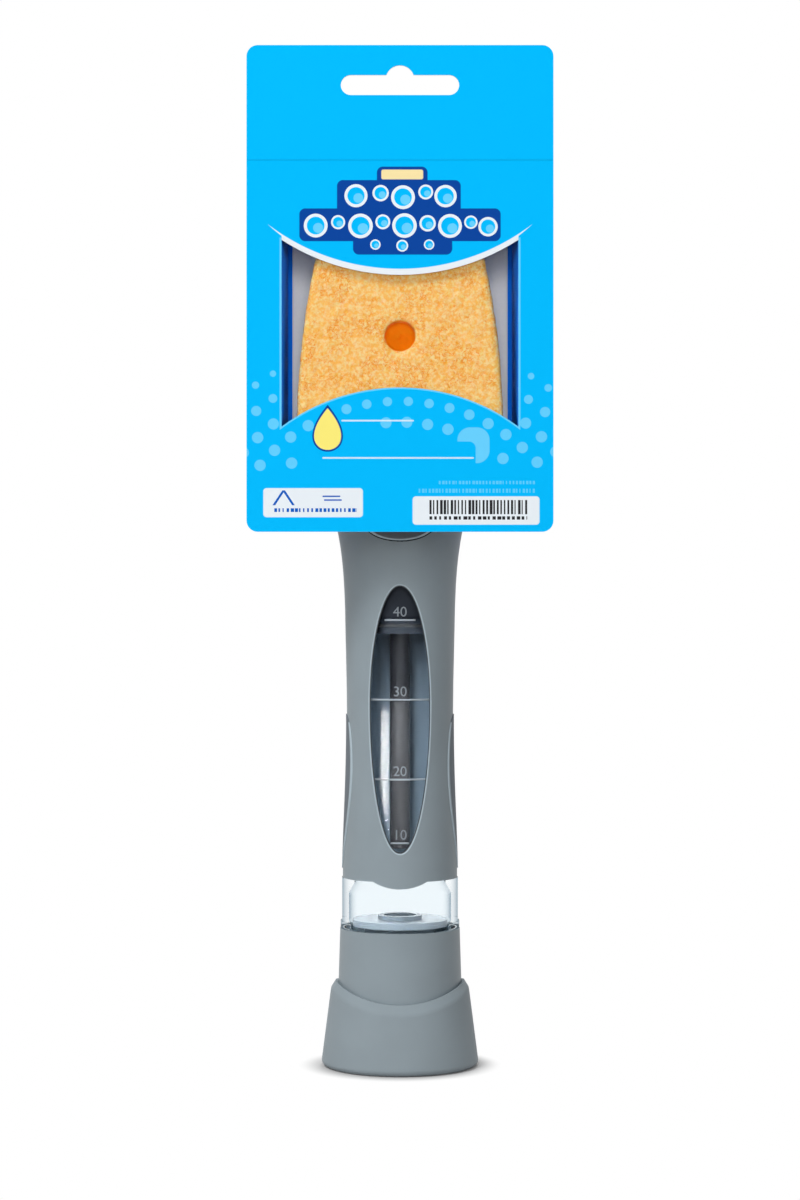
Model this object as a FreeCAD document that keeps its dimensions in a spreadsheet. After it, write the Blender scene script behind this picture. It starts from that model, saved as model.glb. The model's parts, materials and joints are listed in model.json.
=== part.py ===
"""A soap-dispensing dish wand that stands on its screw cap, with its sponge in a sleeve card.

Millimetres. X points right, Y away from the viewer and Z up. The origin is the middle of the
underside of the foot, and the soap bottle, the handle and the sponge stand above it on the Z axis.
"""
import FreeCAD
import Part
import Sketcher
import math
import os
import re

from FreeCAD import Placement, Rotation, Vector

SIZES = {
    # Stand foot and screw cap
    "foot_wall": 1.3,
    "foot_flare": 3.0,
    "foot_high": 23.3,
    "foot_low": 18.8,
    "foot_rounding": 1.4,
    "foot_bevel_width": 1.1,
    "foot_bevel_drop": 2.6,
    "foot_bevel_rounding": 3.0,
    "foot_floor": 6.0,
    "cap_flare": 1.0,
    "cap_length": 32.0,
    "cap_wall": 1.4,
    "cap_well_depth": 11.0,
    "cap_floor_thickness": 2.0,
    "gasket_thickness": 1.4,
    "gasket_inner_radius": 10.2,
    "plug_stem_radius": 9.8,
    "plug_disc_radius": 13.2,
    "plug_disc_thickness": 1.8,
    "plug_rise": 2.4,
    "plug_ring_radius": 6.1,
    "plug_ring_wall": 1.6,
    "plug_ring_height": 1.1,
    # Clear soap bottle
    "thread_radius": 14.9,
    "thread_wall": 1.3,
    "flange_radius": 16.5,
    "flange_thickness": 2.0,
    "band_radius": 16.1,
    "band_wall": 1.9,
    "band_height": 12.0,
    "bottle_radius": 13.0,
    "bottle_wall": 1.1,
    "bottle_length": 72.0,
    "bottle_slope": 4.2,
    # Handle, as depth radii and the extra half-widths of its oval sections
    "pump_length": 35.0,
    "grip_radius": 15.9,
    "palm_radius": 15.15,
    "palm_ratio": 0.215,
    "waist_radius": 14.75,
    "waist_ratio": 0.43,
    "chest_radius": 15.15,
    "chest_ratio": 0.635,
    "throat_radius": 15.6,
    "throat_ratio": 0.766,
    "shoulder_radius": 15.7,
    "shoulder_flare": 1.3,
    "shoulder_ratio": 0.88,
    "crown_radius": 15.4,
    "crown_flare": 5.0,
    "crown_rounding": 1.2,
    "crown_wall": 2.5,
    "bore_gap": 0.35,
    "tongue_depth": 1.9,
    "tongue_half_width": 7.4,
    "window_half_width": 8.04,
    "window_low_margin": 8.0,
    "window_high_margin": 8.6,
    "window_ratio": 0.55,
    "window_chamfer": 0.5,
    # Soft inlays in the sides of the handle
    "inlay_half_width": 7.2,
    "inlay_margin": 2.4,
    "inlay_length": 43.0,
    "inlay_ratio": 0.62,
    "inlay_low_radius": 1.5,
    "inlay_high_radius": 6.0,
    "inlay_depth": 0.9,
    "inlay_proud": 0.25,
    # Pump and its button
    "pump_gap": 0.25,
    "spigot_length": 4.3,
    "seal_wire_radius": 0.7,
    "button_below_crown": 8.8,
    "button_half_width": 9.7,
    "button_half_height": 5.1,
    "button_gap": 0.3,
    "button_bulge_radius": 18.8,
    "button_proud": 0.55,
    "button_thickness": 5.1,
    "button_rounding": 0.8,
    "button_travel": 2.5,
    "relief_drop": 7.7,
    "relief_gap": 0.5,
    "pump_bore_radius": 4.3,
    "pump_bore_depth": 13.2,
    "piston_radius": 4.0,
    "piston_length": 3.4,
    "piston_seal_radius": 0.6,
    "stem_radius": 3.0,
    "spring_radius": 4.9,
    "spring_wire_radius": 0.4,
    "spring_turns": 4.5,
    "spring_pocket_radius": 6.4,
    "spring_pocket_depth": 5.7,
    "passage_radius": 1.3,
    "ball_radius": 1.8,
    "ball_gap": 0.1,
    "valve_radius": 2.3,
    "valve_height": 3.2,
    # Soap path
    "dip_tube_radius": 2.8,
    "dip_tube_wall": 1.0,
    "dip_tube_socket": 8.0,
    "dip_tube_clearance": 8.0,
    "soap_tube_radius": 1.9,
    "soap_tube_wall": 0.6,
    "soap_tube_depth": 9.0,
    "soap_tube_bend": 3.0,
    "nozzle_radius": 3.1,
    "nozzle_bore_radius": 1.5,
    "nozzle_flange_radius": 4.6,
    "nozzle_flange_thickness": 1.2,
    # Paddle, its rails and the cover on its back
    "paddle_front": 1.3,
    "paddle_thickness": 3.0,
    "paddle_inset": 1.5,
    "rail_offset": 12.0,
    "rail_start": 13.0,
    "rail_length": 54.0,
    "rail_stem_width": 3.0,
    "rail_stem_depth": 1.7,
    "rail_head_width": 7.0,
    "rail_head_depth": 1.4,
    "slide_gap": 0.3,
    "cover_length": 54.0,
    "cover_base_half_width": 16.5,
    "cover_base_depth": 9.7,
    "cover_mid_half_width": 13.0,
    "cover_mid_depth": 9.0,
    "cover_top_half_width": 9.5,
    "cover_top_depth": 8.4,
    "cover_tip_half_width": 5.5,
    "cover_tip_depth": 5.0,
    "cover_wall": 1.4,
    # Sponge refill
    "sponge_gap": 1.3,
    "sponge_half_width": 27.8,
    "sponge_length": 85.9,
    "sponge_widest": 14.2,
    "sponge_crown_radius": 21.0,
    "sponge_heel_radius": 60.0,
    "sponge_thickness": 22.0,
    "sponge_rounding": 1.5,
    "soap_hole_radius": 4.1,
    "soap_hole_depth": 6.0,
    "soap_bore_radius": 1.0,
    "soap_hole_rise": 39.6,
    "carrier_thickness": 4.2,
    "carrier_inset": 1.0,
    # Sleeve card
    "card_thickness": 0.6,
    "card_gap": 1.2,
    "card_margin": 9.4,
    "card_drop": 11.8,
    "card_header": 31.5,
    "card_corner_radius": 3.0,
    "tray_side_gap": 3.95,
    "tray_gap": 1.1,
    "tray_head_gap": 0.3,
    "tray_drop": 10.2,
    "view_low": 16.4,
    "view_rise": 10.5,
    "view_high": 66.5,
    "view_sag": 9.4,
    "slot_width": 31.75,
    "slot_height": 5.4,
    "slot_drop": 10.7,
    "slot_bump_radius": 3.85,
    "slot_bump_rise": 1.45,
    # Running fits
    "fit_gap": 0.1,
}

# Heights and depths that follow from the sizes
LEVELS = {
    "cap_top": "foot_floor + cap_length",
    "cap_floor": "cap_top - cap_well_depth",
    "cap_well_radius": "thread_radius + slide_gap",
    "cap_rim_radius": "cap_well_radius + cap_wall",
    "cap_base_radius": "cap_rim_radius + cap_flare",
    "cap_slope": "cap_flare / cap_length",
    "foot_rim_radius": "cap_base_radius + foot_wall",
    "foot_radius": "foot_rim_radius + foot_flare",
    "foot_slope": "foot_flare / foot_high",
    "foot_rise": "foot_high - foot_low",
    "scallop_radius": "(cap_base_radius ^ 2 + foot_rise ^ 2) / (2 * foot_rise)",
    "gasket_top": "cap_floor + gasket_thickness",
    "band_base": "cap_top + flange_thickness",
    "band_top": "band_base + band_height",
    "bottle_top": "band_top + bottle_length",
    "handle_length": "bottle_length + pump_length",
    "head_base": "band_top + handle_length",
    "bore_radius": "bottle_radius + bore_gap",
    "bore_top": "head_base - crown_wall",
    "tongue_radius": "(tongue_half_width ^ 2 + tongue_depth ^ 2) / (2 * tongue_depth)",
    "tongue_centre": "band_top - tongue_depth + tongue_radius",
    "window_low": "band_top + window_low_margin",
    "window_high": "bottle_top + window_high_margin",
    "window_mid": "window_low + window_ratio * (window_high - window_low)",
    "inlay_low": "band_top + inlay_margin",
    "inlay_high": "inlay_low + inlay_length",
    "inlay_mid": "inlay_low + inlay_ratio * inlay_length",
    "pump_base": "bottle_top + bore_gap",
    "pump_top": "bore_top - pump_gap",
    "pump_radius": "bore_radius - pump_gap",
    "spigot_base": "bottle_top - spigot_length",
    "spigot_radius": "bottle_radius - bottle_wall - pump_gap",
    "button_level": "head_base - button_below_crown",
    "button_front": "-shoulder_radius - button_proud",
    "button_back": "button_front + button_thickness",
    "relief_front": "button_back + button_travel + relief_gap",
    "pocket_floor": "relief_front + spring_pocket_depth",
    "bore_end": "relief_front + pump_bore_depth",
    "piston_front": "pocket_floor + fit_gap",
    "piston_middle": "piston_front + piston_length / 2",
    "dip_top": "pump_base + dip_tube_socket",
    "dip_low": "band_top + dip_tube_clearance",
    "ball_level": "dip_top + ball_radius + ball_radius",
    "paddle_back": "paddle_front + paddle_thickness",
    "carrier_back": "paddle_front - slide_gap",
    "carrier_front": "carrier_back - carrier_thickness",
    "sponge_front": "carrier_front - sponge_thickness",
    "sponge_base": "head_base + sponge_gap",
    "sponge_mid": "sponge_base + sponge_widest",
    "sponge_top": "sponge_base + sponge_length",
    "soap_level": "sponge_base + soap_hole_rise",
    "rail_base": "head_base + rail_start",
    "rail_top": "rail_base + rail_length",
    "rail_step": "paddle_front - rail_stem_depth",
    "rail_face": "rail_step - rail_head_depth",
    "cover_top": "head_base + cover_length",
    "card_back": "sponge_front - card_gap",
    "card_front": "card_back - card_thickness",
    "tray_half_width": "sponge_half_width + tray_side_gap",
    "card_half_width": "tray_half_width + card_margin",
    "card_low": "head_base - card_drop",
    "card_high": "sponge_top + card_header",
    "tray_back": "crown_radius + tray_gap",
    "tray_low": "head_base - tray_drop",
    "tray_high": "sponge_top + tray_head_gap",
    "slot_level": "card_high - slot_drop",
}

doc = FreeCAD.newDocument("DishWand")
sheet = doc.addObject("Spreadsheet::Sheet", "Sizes")
for row, (alias, number) in enumerate(SIZES.items(), start=1):
    sheet.set(f"A{row}", alias.replace("_", " "))
    sheet.set(f"B{row}", str(number))
    sheet.setAlias(f"B{row}", alias)
doc.recompute()


def cells(text):
    """Writes an expression of sizes and levels with every name pointing at its cell."""
    def full(word):
        name = word.group()
        if name in LEVELS:
            return f"({cells(LEVELS[name])})"
        return f"Sizes.{name}" if name in SIZES else name
    return re.sub(r"[a-z_]+", full, text)


def value(text):
    """The number that an expression of sizes and levels has now."""
    return float(sheet.evalExpression(cells(text)))


def tie(item, **expressions):
    """Binds properties of a document object to the sheet."""
    for name, text in expressions.items():
        item.setExpression(name, cells(text))
    return item


def place(item, x="0", y="0", z="0", turn=None):
    """Puts an object at a bound position, turned by a fixed rotation."""
    item.Placement = Placement(Vector(), turn or Rotation())
    for axis, text in (("x", x), ("y", y), ("z", z)):
        item.setExpression(f".Placement.Base.{axis}", cells(text))
    return item


ALONG_X = Rotation(Vector(0, 1, 0), 90)
ALONG_Y = Rotation(Vector(1, 0, 0), -90)
QUARTER_TURN = Rotation(Vector(0, 0, 1), 90)


def rod(name, radius, low, high, axis="z", x="0", y="0", z="0"):
    """A cylinder from low to high along one axis; the other two coordinates place it."""
    item = tie(doc.addObject("Part::Cylinder", name), Radius=radius, Height=f"({high}) - ({low})")
    if axis == "x":
        return place(item, low, y, z, ALONG_X)
    if axis == "y":
        return place(item, x, low, z, ALONG_Y)
    return place(item, x, y, low)


def block(name, x, y, z):
    """A box between three pairs of bound limits."""
    item = doc.addObject("Part::Box", name)
    for side, (low, high) in (("Length", x), ("Width", y), ("Height", z)):
        tie(item, **{side: f"({high}) - ({low})"})
    return place(item, x[0], y[0], z[0])


def ring(name, middle_radius, wire_radius, y="0", z="0", turn=None):
    """A torus about Z, or about Y when it is turned."""
    item = tie(doc.addObject("Part::Torus", name), Radius1=middle_radius, Radius2=wire_radius)
    return place(item, "0", y, z, turn)


def joined(name, *items):
    """Several solids as one."""
    item = doc.addObject("Part::MultiFuse", name)
    item.Shapes = list(items)
    item.Refine = True
    return item


def cut(name, base, *tools):
    """A solid with one or more others taken out of it."""
    item = doc.addObject("Part::Cut", name)
    item.Base = base
    item.Tool = tools[0] if len(tools) == 1 else joined(name + "_tools", *tools)
    return item


def shared(name, first, second):
    """What two solids have in common."""
    item = doc.addObject("Part::Common", name)
    item.Base = first
    item.Tool = second
    return item


def edged(kind, name, base, size, chosen, second=None):
    """Rounds or chamfers the edges of a solid that pass a test; a second size makes a chamfer uneven."""
    doc.recompute()
    item = doc.addObject(kind, name)
    item.Base = base
    picked = [number for number, edge in enumerate(base.Shape.Edges, start=1) if chosen(edge)]
    item.Edges = [(number, value(size), value(second or size)) for number in picked]
    return item


def new_sketch(body, plane, offset="0"):
    """A sketch on one of a body's own planes, moved along the plane's normal."""
    item = body.newObject("Sketcher::SketchObject", body.Name + "_outline")
    item.AttachmentSupport = [(next(f for f in body.Origin.OriginFeatures if f.Role == plane), "")]
    item.MapMode = "FlatFace"
    item.setExpression(".AttachmentOffset.Base.z", cells(offset))
    return item


def pin(outline, geometry, point, x=None, y=None):
    """Holds a sketch point at bound distances from the sketch's origin."""
    for kind, text in (("DistanceX", x), ("DistanceY", y)):
        if text is not None:
            number = outline.addConstraint(Sketcher.Constraint(kind, -1, 1, geometry, point, value(text)))
            outline.setExpression(f"Constraints[{number}]", cells(text))


def hold_radius(outline, geometry, text):
    """Holds the radius of a sketch arc at a bound size."""
    number = outline.addConstraint(Sketcher.Constraint("Radius", geometry, value(text)))
    outline.setExpression(f"Constraints[{number}]", cells(text))


def round_edge(outline, centre, radius, start, end):
    """Adds the arc that runs anticlockwise about a centre from start to end."""
    angles = [math.atan2(point.y - centre.y, point.x - centre.x) for point in (start, end)]
    circle = Part.Circle(centre, Vector(0, 0, 1), radius)
    outline.addGeometry(Part.ArcOfCircle(circle, angles[0], angles[1]))


def polygon(outline, corners):
    """A closed run of straight lines through bound corners."""
    points = [Vector(value(across), value(up), 0) for across, up in corners]
    for start, end in zip(points, points[1:] + points[:1]):
        outline.addGeometry(Part.LineSegment(start, end))
    for number, (across, up) in enumerate(corners):
        before = (number - 1) % len(corners)
        outline.addConstraint(Sketcher.Constraint("Coincident", before, 2, number, 1))
        pin(outline, number, 1, across, up)


def turned(name, *corners):
    """A body turned about Z from a section of (radius, height) corners."""
    body = doc.addObject("PartDesign::Body", name)
    outline = new_sketch(body, "XZ_Plane")
    polygon(outline, corners)
    item = body.newObject("PartDesign::Revolution", name + "_turned")
    item.Profile = outline
    item.ReferenceAxis = (outline, ["V_Axis"])
    item.Angle = 360
    return body


def padded(body, outline, length):
    """Pads a sketch by a bound length."""
    item = body.newObject("PartDesign::Pad", body.Name + "_pad")
    item.Profile = outline
    tie(item, Length=length)
    return body


def egg(outline, half_width, widest, high, high_radius, low, low_radius):
    """An egg of six tangent arcs: a round end above and below, and two arcs down each side."""
    half = value(half_width)
    middle = value(widest)
    sides = {}
    for sign, end, radius in ((1, value(high), value(high_radius)), (-1, value(low), value(low_radius))):
        length = abs(end - middle)
        side = (half ** 2 + length ** 2 - 2 * radius * length) / (2 * (half - radius))
        centre = Vector(half - side, middle, 0)
        end_centre = Vector(0, middle + sign * (length - radius), 0)
        sides[sign] = (centre, side, end_centre, radius, centre + (end_centre - centre) * (side / (side - radius)))

    def mirrored(point):
        return Vector(-point.x, point.y, 0)

    right = Vector(half, middle, 0)
    top_side, top_radius, top_centre, crown, top_joint = sides[1]
    low_side, bottom_radius, bottom_centre, heel, low_joint = sides[-1]
    round_edge(outline, low_side, bottom_radius, low_joint, right)
    round_edge(outline, top_side, top_radius, right, top_joint)
    round_edge(outline, top_centre, crown, top_joint, mirrored(top_joint))
    round_edge(outline, mirrored(top_side), top_radius, mirrored(top_joint), mirrored(right))
    round_edge(outline, mirrored(low_side), bottom_radius, mirrored(right), mirrored(low_joint))
    round_edge(outline, bottom_centre, heel, mirrored(low_joint), low_joint)
    for number in range(6):
        outline.addConstraint(Sketcher.Constraint("Tangent", number, 2, (number + 1) % 6, 1))
    for number, level, radius in ((2, f"({high}) - ({high_radius})", high_radius),
                                  (5, f"({low}) + ({low_radius})", low_radius)):
        pin(outline, number, 3, "0", level)
        hold_radius(outline, number, radius)
    pin(outline, 0, 2, half_width, widest)
    pin(outline, 3, 2, f"-({half_width})", widest)
    pin(outline, 1, 3, None, widest)
    pin(outline, 3, 3, None, widest)


def egg_plate(name, front, back, *outline_sizes):
    """An upright egg-shaped plate between two depths."""
    body = doc.addObject("PartDesign::Body", name)
    outline = new_sketch(body, "XZ_Plane", f"-({back})")
    egg(outline, *outline_sizes)
    return padded(body, outline, f"({back}) - ({front})")


def head_egg(name, front, back, inset, low):
    """A plate of the sponge's outline, drawn in at the sides and the top."""
    return egg_plate(name, front, back, f"sponge_half_width - {inset}", "sponge_mid",
                     f"sponge_top - {inset}", f"sponge_crown_radius - {inset}",
                     low, f"sponge_heel_radius - {inset}")


def oval_loft(name, sections, y="0"):
    """A smooth skin through level ovals, each a height, a half-width and a half-depth."""
    ovals = []
    for number, (level, half_width, half_depth) in enumerate(sections):
        oval = doc.addObject("Part::Ellipse", f"{name}_oval_{number}")
        tie(oval, MajorRadius=half_width, MinorRadius=half_depth)
        ovals.append(place(oval, "0", y, level))
    item = doc.addObject("Part::Loft", name)
    item.Sections = ovals
    item.Solid = True
    item.Ruled = False
    return item


def oval_prism(name, half_width, half_height, front, back, level):
    """An oval that runs along Y, drawn from its longer half."""
    oval = doc.addObject("Part::Ellipse", name + "_oval")
    if value(half_width) > value(half_height):
        tie(oval, MajorRadius=half_width, MinorRadius=half_height)
        place(oval, "0", front, level, ALONG_Y)
    else:
        tie(oval, MajorRadius=half_height, MinorRadius=half_width)
        place(oval, "0", front, level, ALONG_Y * QUARTER_TURN)
    item = doc.addObject("Part::Extrusion", name)
    item.Base = oval
    item.DirMode = "Custom"
    item.Dir = Vector(0, 1, 0)
    item.Solid = True
    return tie(item, LengthFwd=f"({back}) - ({front})")


def named(label, item):
    """Gives a finished sub-part the name of its file."""
    item.Label = label
    PIECES.append(item)
    return item


PIECES = []
FAR = "foot_radius * 3"
SNAP = 0.01


# Stand foot: a flared soft cup with a flat sole and a scalloped rim, holding the cap
def make_stand_foot():
    top = "foot_high + foot_rise"
    sleeve_low = "cap_base_radius + fit_gap"
    sleeve_high = f"{sleeve_low} - cap_slope * ({top} - foot_floor)"
    blank = turned("foot_blank",
                   ("0", "0"),
                   ("foot_radius", "0"),
                   (f"foot_radius - foot_slope * ({top})", top),
                   (sleeve_high, top),
                   (sleeve_low, "foot_floor"),
                   ("0", "foot_floor"))
    scallop = rod("foot_scallop", "scallop_radius", f"-({FAR})", FAR, "y", z="foot_low + scallop_radius")
    waved = cut("foot_waved", blank, scallop)
    floor = value("foot_floor")
    between = value("(foot_rim_radius + cap_base_radius) / 2")
    def around_rim(edge):
        return edge.BoundBox.ZMin > floor and edge.BoundBox.XMax > between

    bevel = edged("Part::Chamfer", "foot_bevel", waved, "foot_bevel_drop", around_rim, "foot_bevel_width")
    rim = edged("Part::Fillet", "foot_rim", bevel, "foot_bevel_rounding", around_rim)
    sole = edged("Part::Fillet", "foot_sole", rim, "foot_rounding",
                 lambda edge: edge.BoundBox.ZMax < SNAP and edge.BoundBox.XMax > between)
    named("stand_foot", sole)


# Screw cap: a tapered cup, open below, whose upper well takes the bottle's thread
def make_screw_cap():
    named("screw_cap", turned("screw_cap",
                              ("0", "cap_floor - cap_floor_thickness"),
                              ("cap_well_radius", "cap_floor - cap_floor_thickness"),
                              ("cap_well_radius", "foot_floor"),
                              ("cap_base_radius", "foot_floor"),
                              ("cap_rim_radius", "cap_top"),
                              ("cap_well_radius", "cap_top"),
                              ("cap_well_radius", "cap_floor"),
                              ("0", "cap_floor")))
    named("cap_gasket", turned("cap_gasket",
                               ("gasket_inner_radius", "cap_floor"),
                               ("thread_radius", "cap_floor"),
                               ("thread_radius", "gasket_top"),
                               ("gasket_inner_radius", "gasket_top")))
    disc_top = "cap_top + plug_rise"
    ring_inner = "plug_ring_radius - plug_ring_wall"
    named("cap_plug", turned("cap_plug",
                             ("0", "cap_floor"),
                             ("plug_stem_radius", "cap_floor"),
                             ("plug_stem_radius", f"{disc_top} - plug_disc_thickness"),
                             ("plug_disc_radius", f"{disc_top} - plug_disc_thickness"),
                             ("plug_disc_radius", disc_top),
                             ("plug_ring_radius", disc_top),
                             ("plug_ring_radius", f"{disc_top} + plug_ring_height"),
                             (ring_inner, f"{disc_top} + plug_ring_height"),
                             (ring_inner, disc_top),
                             ("0", disc_top)))


def tongue(name, gap, reach):
    """The round tab by which the handle's lower edge dips into the band at the front."""
    return rod(name, f"tongue_radius + {gap}", f"-({FAR})", reach, "y", z="tongue_centre")


# Soap bottle: threaded neck, flange and clear band below, slim body up inside the handle
def make_reservoir():
    neck_inner = "thread_radius - thread_wall"
    band_inner = "band_radius - band_wall"
    bottle_inner = "bottle_radius - bottle_wall"
    shell = turned("reservoir_turned",
                   (neck_inner, "gasket_top + slide_gap"),
                   ("thread_radius", "gasket_top + slide_gap"),
                   ("thread_radius", "cap_top"),
                   ("flange_radius", "cap_top"),
                   ("flange_radius", "band_base"),
                   ("band_radius", "band_base"),
                   ("band_radius", "band_top"),
                   ("bottle_radius", "band_top"),
                   ("bottle_radius", "bottle_top"),
                   (bottle_inner, "bottle_top"),
                   (bottle_inner, "band_top"),
                   (band_inner, "band_top - bottle_slope"),
                   (band_inner, "band_base"),
                   (neck_inner, "cap_top"))
    notch = cut("reservoir_notch", tongue("notch_tongue", "fit_gap", "0"),
                rod("notch_core", "bore_radius", "0", "head_base"))
    named("reservoir", cut("reservoir", shell, notch))


HANDLE_SECTIONS = (
    ("0 - tongue_depth / handle_length", "grip_radius", "0"),
    ("palm_ratio", "palm_radius", "0"),
    ("waist_ratio", "waist_radius", "0"),
    ("chest_ratio", "chest_radius", "0"),
    ("throat_ratio", "throat_radius", "0"),
    ("shoulder_ratio", "shoulder_radius", "shoulder_flare"),
    ("1", "crown_radius", "crown_flare"),
)


def handle_skin(name, growth):
    """The outer form of the handle, grown outwards or drawn in by a distance."""
    return oval_loft(name, [(f"band_top + ({spot}) * handle_length",
                             f"{depth} + {flare} + ({growth})", f"{depth} + ({growth})")
                            for spot, depth, flare in HANDLE_SECTIONS])


def inlay_prism(name, side, shrink):
    """The outline of a side inlay, running out sideways from the middle of the handle."""
    body = doc.addObject("PartDesign::Body", name)
    outline = new_sketch(body, "YZ_Plane", "0" if side > 0 else f"-({FAR})")
    egg(outline, f"inlay_half_width - {shrink}", "inlay_mid",
        f"inlay_high - {shrink}", f"inlay_high_radius - {shrink}",
        f"inlay_low + {shrink}", f"inlay_low_radius - {shrink}")
    return padded(body, outline, FAR)


# Handle: window, button hole and inlay beds in the grip, and the paddle with its rails above
def make_handle():
    top = value("head_base")
    skin = edged("Part::Fillet", "handle_crown", handle_skin("handle_skin", "0"), "crown_rounding",
                 lambda edge: edge.BoundBox.ZMin > top - SNAP)
    trim = cut("handle_trim",
               block("handle_trim_block", (f"-({FAR})", FAR), (f"-({FAR})", FAR), ("0", "band_top")),
               tongue("handle_tongue", "0", "0"))
    window = joined("handle_window", window_half("upper", "window_mid", "window_high"),
                    window_half("lower", "window_low", "window_mid"))
    button_hole = oval_prism("button_hole", "button_half_width + button_gap",
                             "button_half_height + button_gap", f"-({FAR})", "relief_front", "button_level")
    bore = rod("handle_bore", "bore_radius", "0", "bore_top")
    grip = cut("handle_grip", skin, trim, window, button_hole, bore)
    grip = edged("Part::Chamfer", "handle_rim", grip, "window_chamfer", window_rim)
    core = handle_skin("inlay_bed", "0 - inlay_depth")
    beds = [cut(f"inlay_bed_{name}", inlay_prism(f"inlay_bed_prism_{name}", side, "0"), core)
            for name, side in (("left", -1), ("right", 1))]
    paddle = head_egg("paddle", "paddle_front", "paddle_back", "paddle_inset", "head_base - crown_wall / 2")
    rails = [part for name, side in (("left", "-"), ("right", "")) for part in make_rail(name, side)]
    tube_hole = rod("tube_hole", "soap_tube_radius + fit_gap", "pump_top", "head_base + crown_wall",
                    y="soap_tube_depth")
    nozzle_hole = rod("nozzle_hole", "nozzle_radius + fit_gap", "rail_face", "paddle_back + fit_gap", "y",
                      z="soap_level")
    body = joined("handle_body", grip, paddle, *rails)
    named("handle_shell", cut("handle_shell", body, *beds, tube_hole, nozzle_hole))
    for name, side in (("left", -1), ("right", 1)):
        pad = shared(f"{name}_pad", inlay_prism(f"{name}_prism", side, "fit_gap"),
                     handle_skin(f"{name}_skin", "inlay_proud"))
        floor = handle_skin(f"{name}_floor", "fit_gap - inlay_depth")
        named(f"{name}_grip", cut(f"{name}_grip", pad, floor))


def window_half(name, low, high):
    """Half of the window's egg: half an upright oval about its widest level."""
    oval = oval_prism(f"window_{name}_prism", "window_half_width", f"({high}) - ({low})", f"-({FAR})", "0",
                      "window_mid")
    return shared(f"window_{name}", oval,
                  block(f"window_{name}_block", (f"-({FAR})", FAR), (f"-({FAR})", "0"), (low, high)))


def window_rim(edge):
    """Tells the outer edges of the window from all the other edges of the grip."""
    box = edge.BoundBox
    narrow = value("window_half_width") + SNAP
    upright = value("window_low") - SNAP < box.ZMin and box.ZMax < value("window_high") + SNAP
    outside = value("bore_radius + window_chamfer / 2")
    return (upright and -narrow < box.XMin and box.XMax < narrow and box.YMax < 0
            and all(math.hypot(corner.X, corner.Y) > outside for corner in edge.Vertexes))


def make_rail(name, side):
    """One T-shaped rail on the front of the paddle: a narrow stem and a wide head."""
    parts = []
    for part, width, front, back in (("stem", "rail_stem_width", "rail_step", "paddle_front + fit_gap"),
                                     ("head", "rail_head_width", "rail_face", "rail_step")):
        middle = f"{side}rail_offset"
        parts.append(block(f"rail_{name}_{part}", (f"{middle} - {width} / 2", f"{middle} + {width} / 2"),
                           (front, back), ("rail_base", "rail_top")))
    return parts


# Cover: a hollow rib on the paddle's back that runs out towards the top
def make_spine_cover():
    spots = (("0", "cover_base"), ("0.45", "cover_mid"), ("0.87", "cover_top"), ("1", "cover_tip"))

    def rib(name, wall, shorten):
        return oval_loft(name, [(f"head_base + {spot} * (cover_length - {shorten})",
                                 f"{part}_half_width - {wall}", f"{part}_depth - {wall}")
                                for spot, part in spots], "paddle_back")
    front = block("cover_front", (f"-({FAR})", FAR), (f"-({FAR})", "paddle_back"), ("0", "cover_top * 2"))
    named("spine_cover", cut("spine_cover", rib("cover_outer", "0", "0"),
                             rib("cover_inner", "cover_wall", "cover_wall"), front))


# Pump: block with its passages, button, plunger, spring, valves and seals
def make_pump():
    stout = rod("pump_body", "pump_radius", "pump_base", "pump_top")
    spigot = rod("pump_spigot", "spigot_radius", "spigot_base", "pump_base + fit_gap")
    seal_ring = "spigot_radius - seal_wire_radius + pump_gap / 2"
    seal_level = "spigot_base + spigot_length / 2"
    hollows = (
        block("pump_relief", (f"-({FAR})", FAR), (f"-({FAR})", "relief_front"),
              ("button_level - relief_drop", "head_base")),
        rod("pump_bore", "pump_bore_radius", "relief_front", "bore_end", "y", z="button_level"),
        rod("pump_pocket", "spring_pocket_radius", "relief_front", "pocket_floor", "y", z="button_level"),
        rod("pump_socket", "dip_tube_radius + fit_gap", "spigot_base", "dip_top + fit_gap"),
        rod("pump_ball_cage", "ball_radius + ball_gap", "dip_top", "ball_level + 2 * ball_radius"),
        rod("pump_inlet", "passage_radius", "dip_top", "button_level"),
        rod("pump_cross", "passage_radius", "bore_end - fit_gap", "soap_tube_depth", "y", z="button_level"),
        rod("pump_outlet", "passage_radius", "button_level", "pump_top", y="soap_tube_depth"),
        rod("pump_valve_seat", "valve_radius + fit_gap", "pump_top - valve_height - fit_gap", "pump_top",
            y="soap_tube_depth"),
        ring("pump_groove", seal_ring, "seal_wire_radius + fit_gap / 2", z=seal_level),
    )
    named("pump_block", cut("pump_block", joined("pump_blank", stout, spigot), *hollows))
    named("bottle_seal", ring("bottle_seal", seal_ring, "seal_wire_radius", z=seal_level))
    ball = tie(doc.addObject("Part::Sphere", "inlet_ball"), Radius="ball_radius")
    named("inlet_ball", place(ball, z="dip_top + ball_radius + ball_gap"))
    lip_base = "pump_top - valve_height"
    flange = rod("valve_flange", "valve_radius", lip_base, f"{lip_base} + valve_height / 3", y="soap_tube_depth")
    bill = doc.addObject("Part::Cone", "valve_bill")
    tie(bill, Radius1="valve_radius * 0.7", Radius2="valve_radius * 0.25", Height="valve_height * 0.55")
    place(bill, "0", "soap_tube_depth", f"{lip_base} + valve_height / 3")
    named("outlet_valve", joined("outlet_valve", flange, bill))


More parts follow.
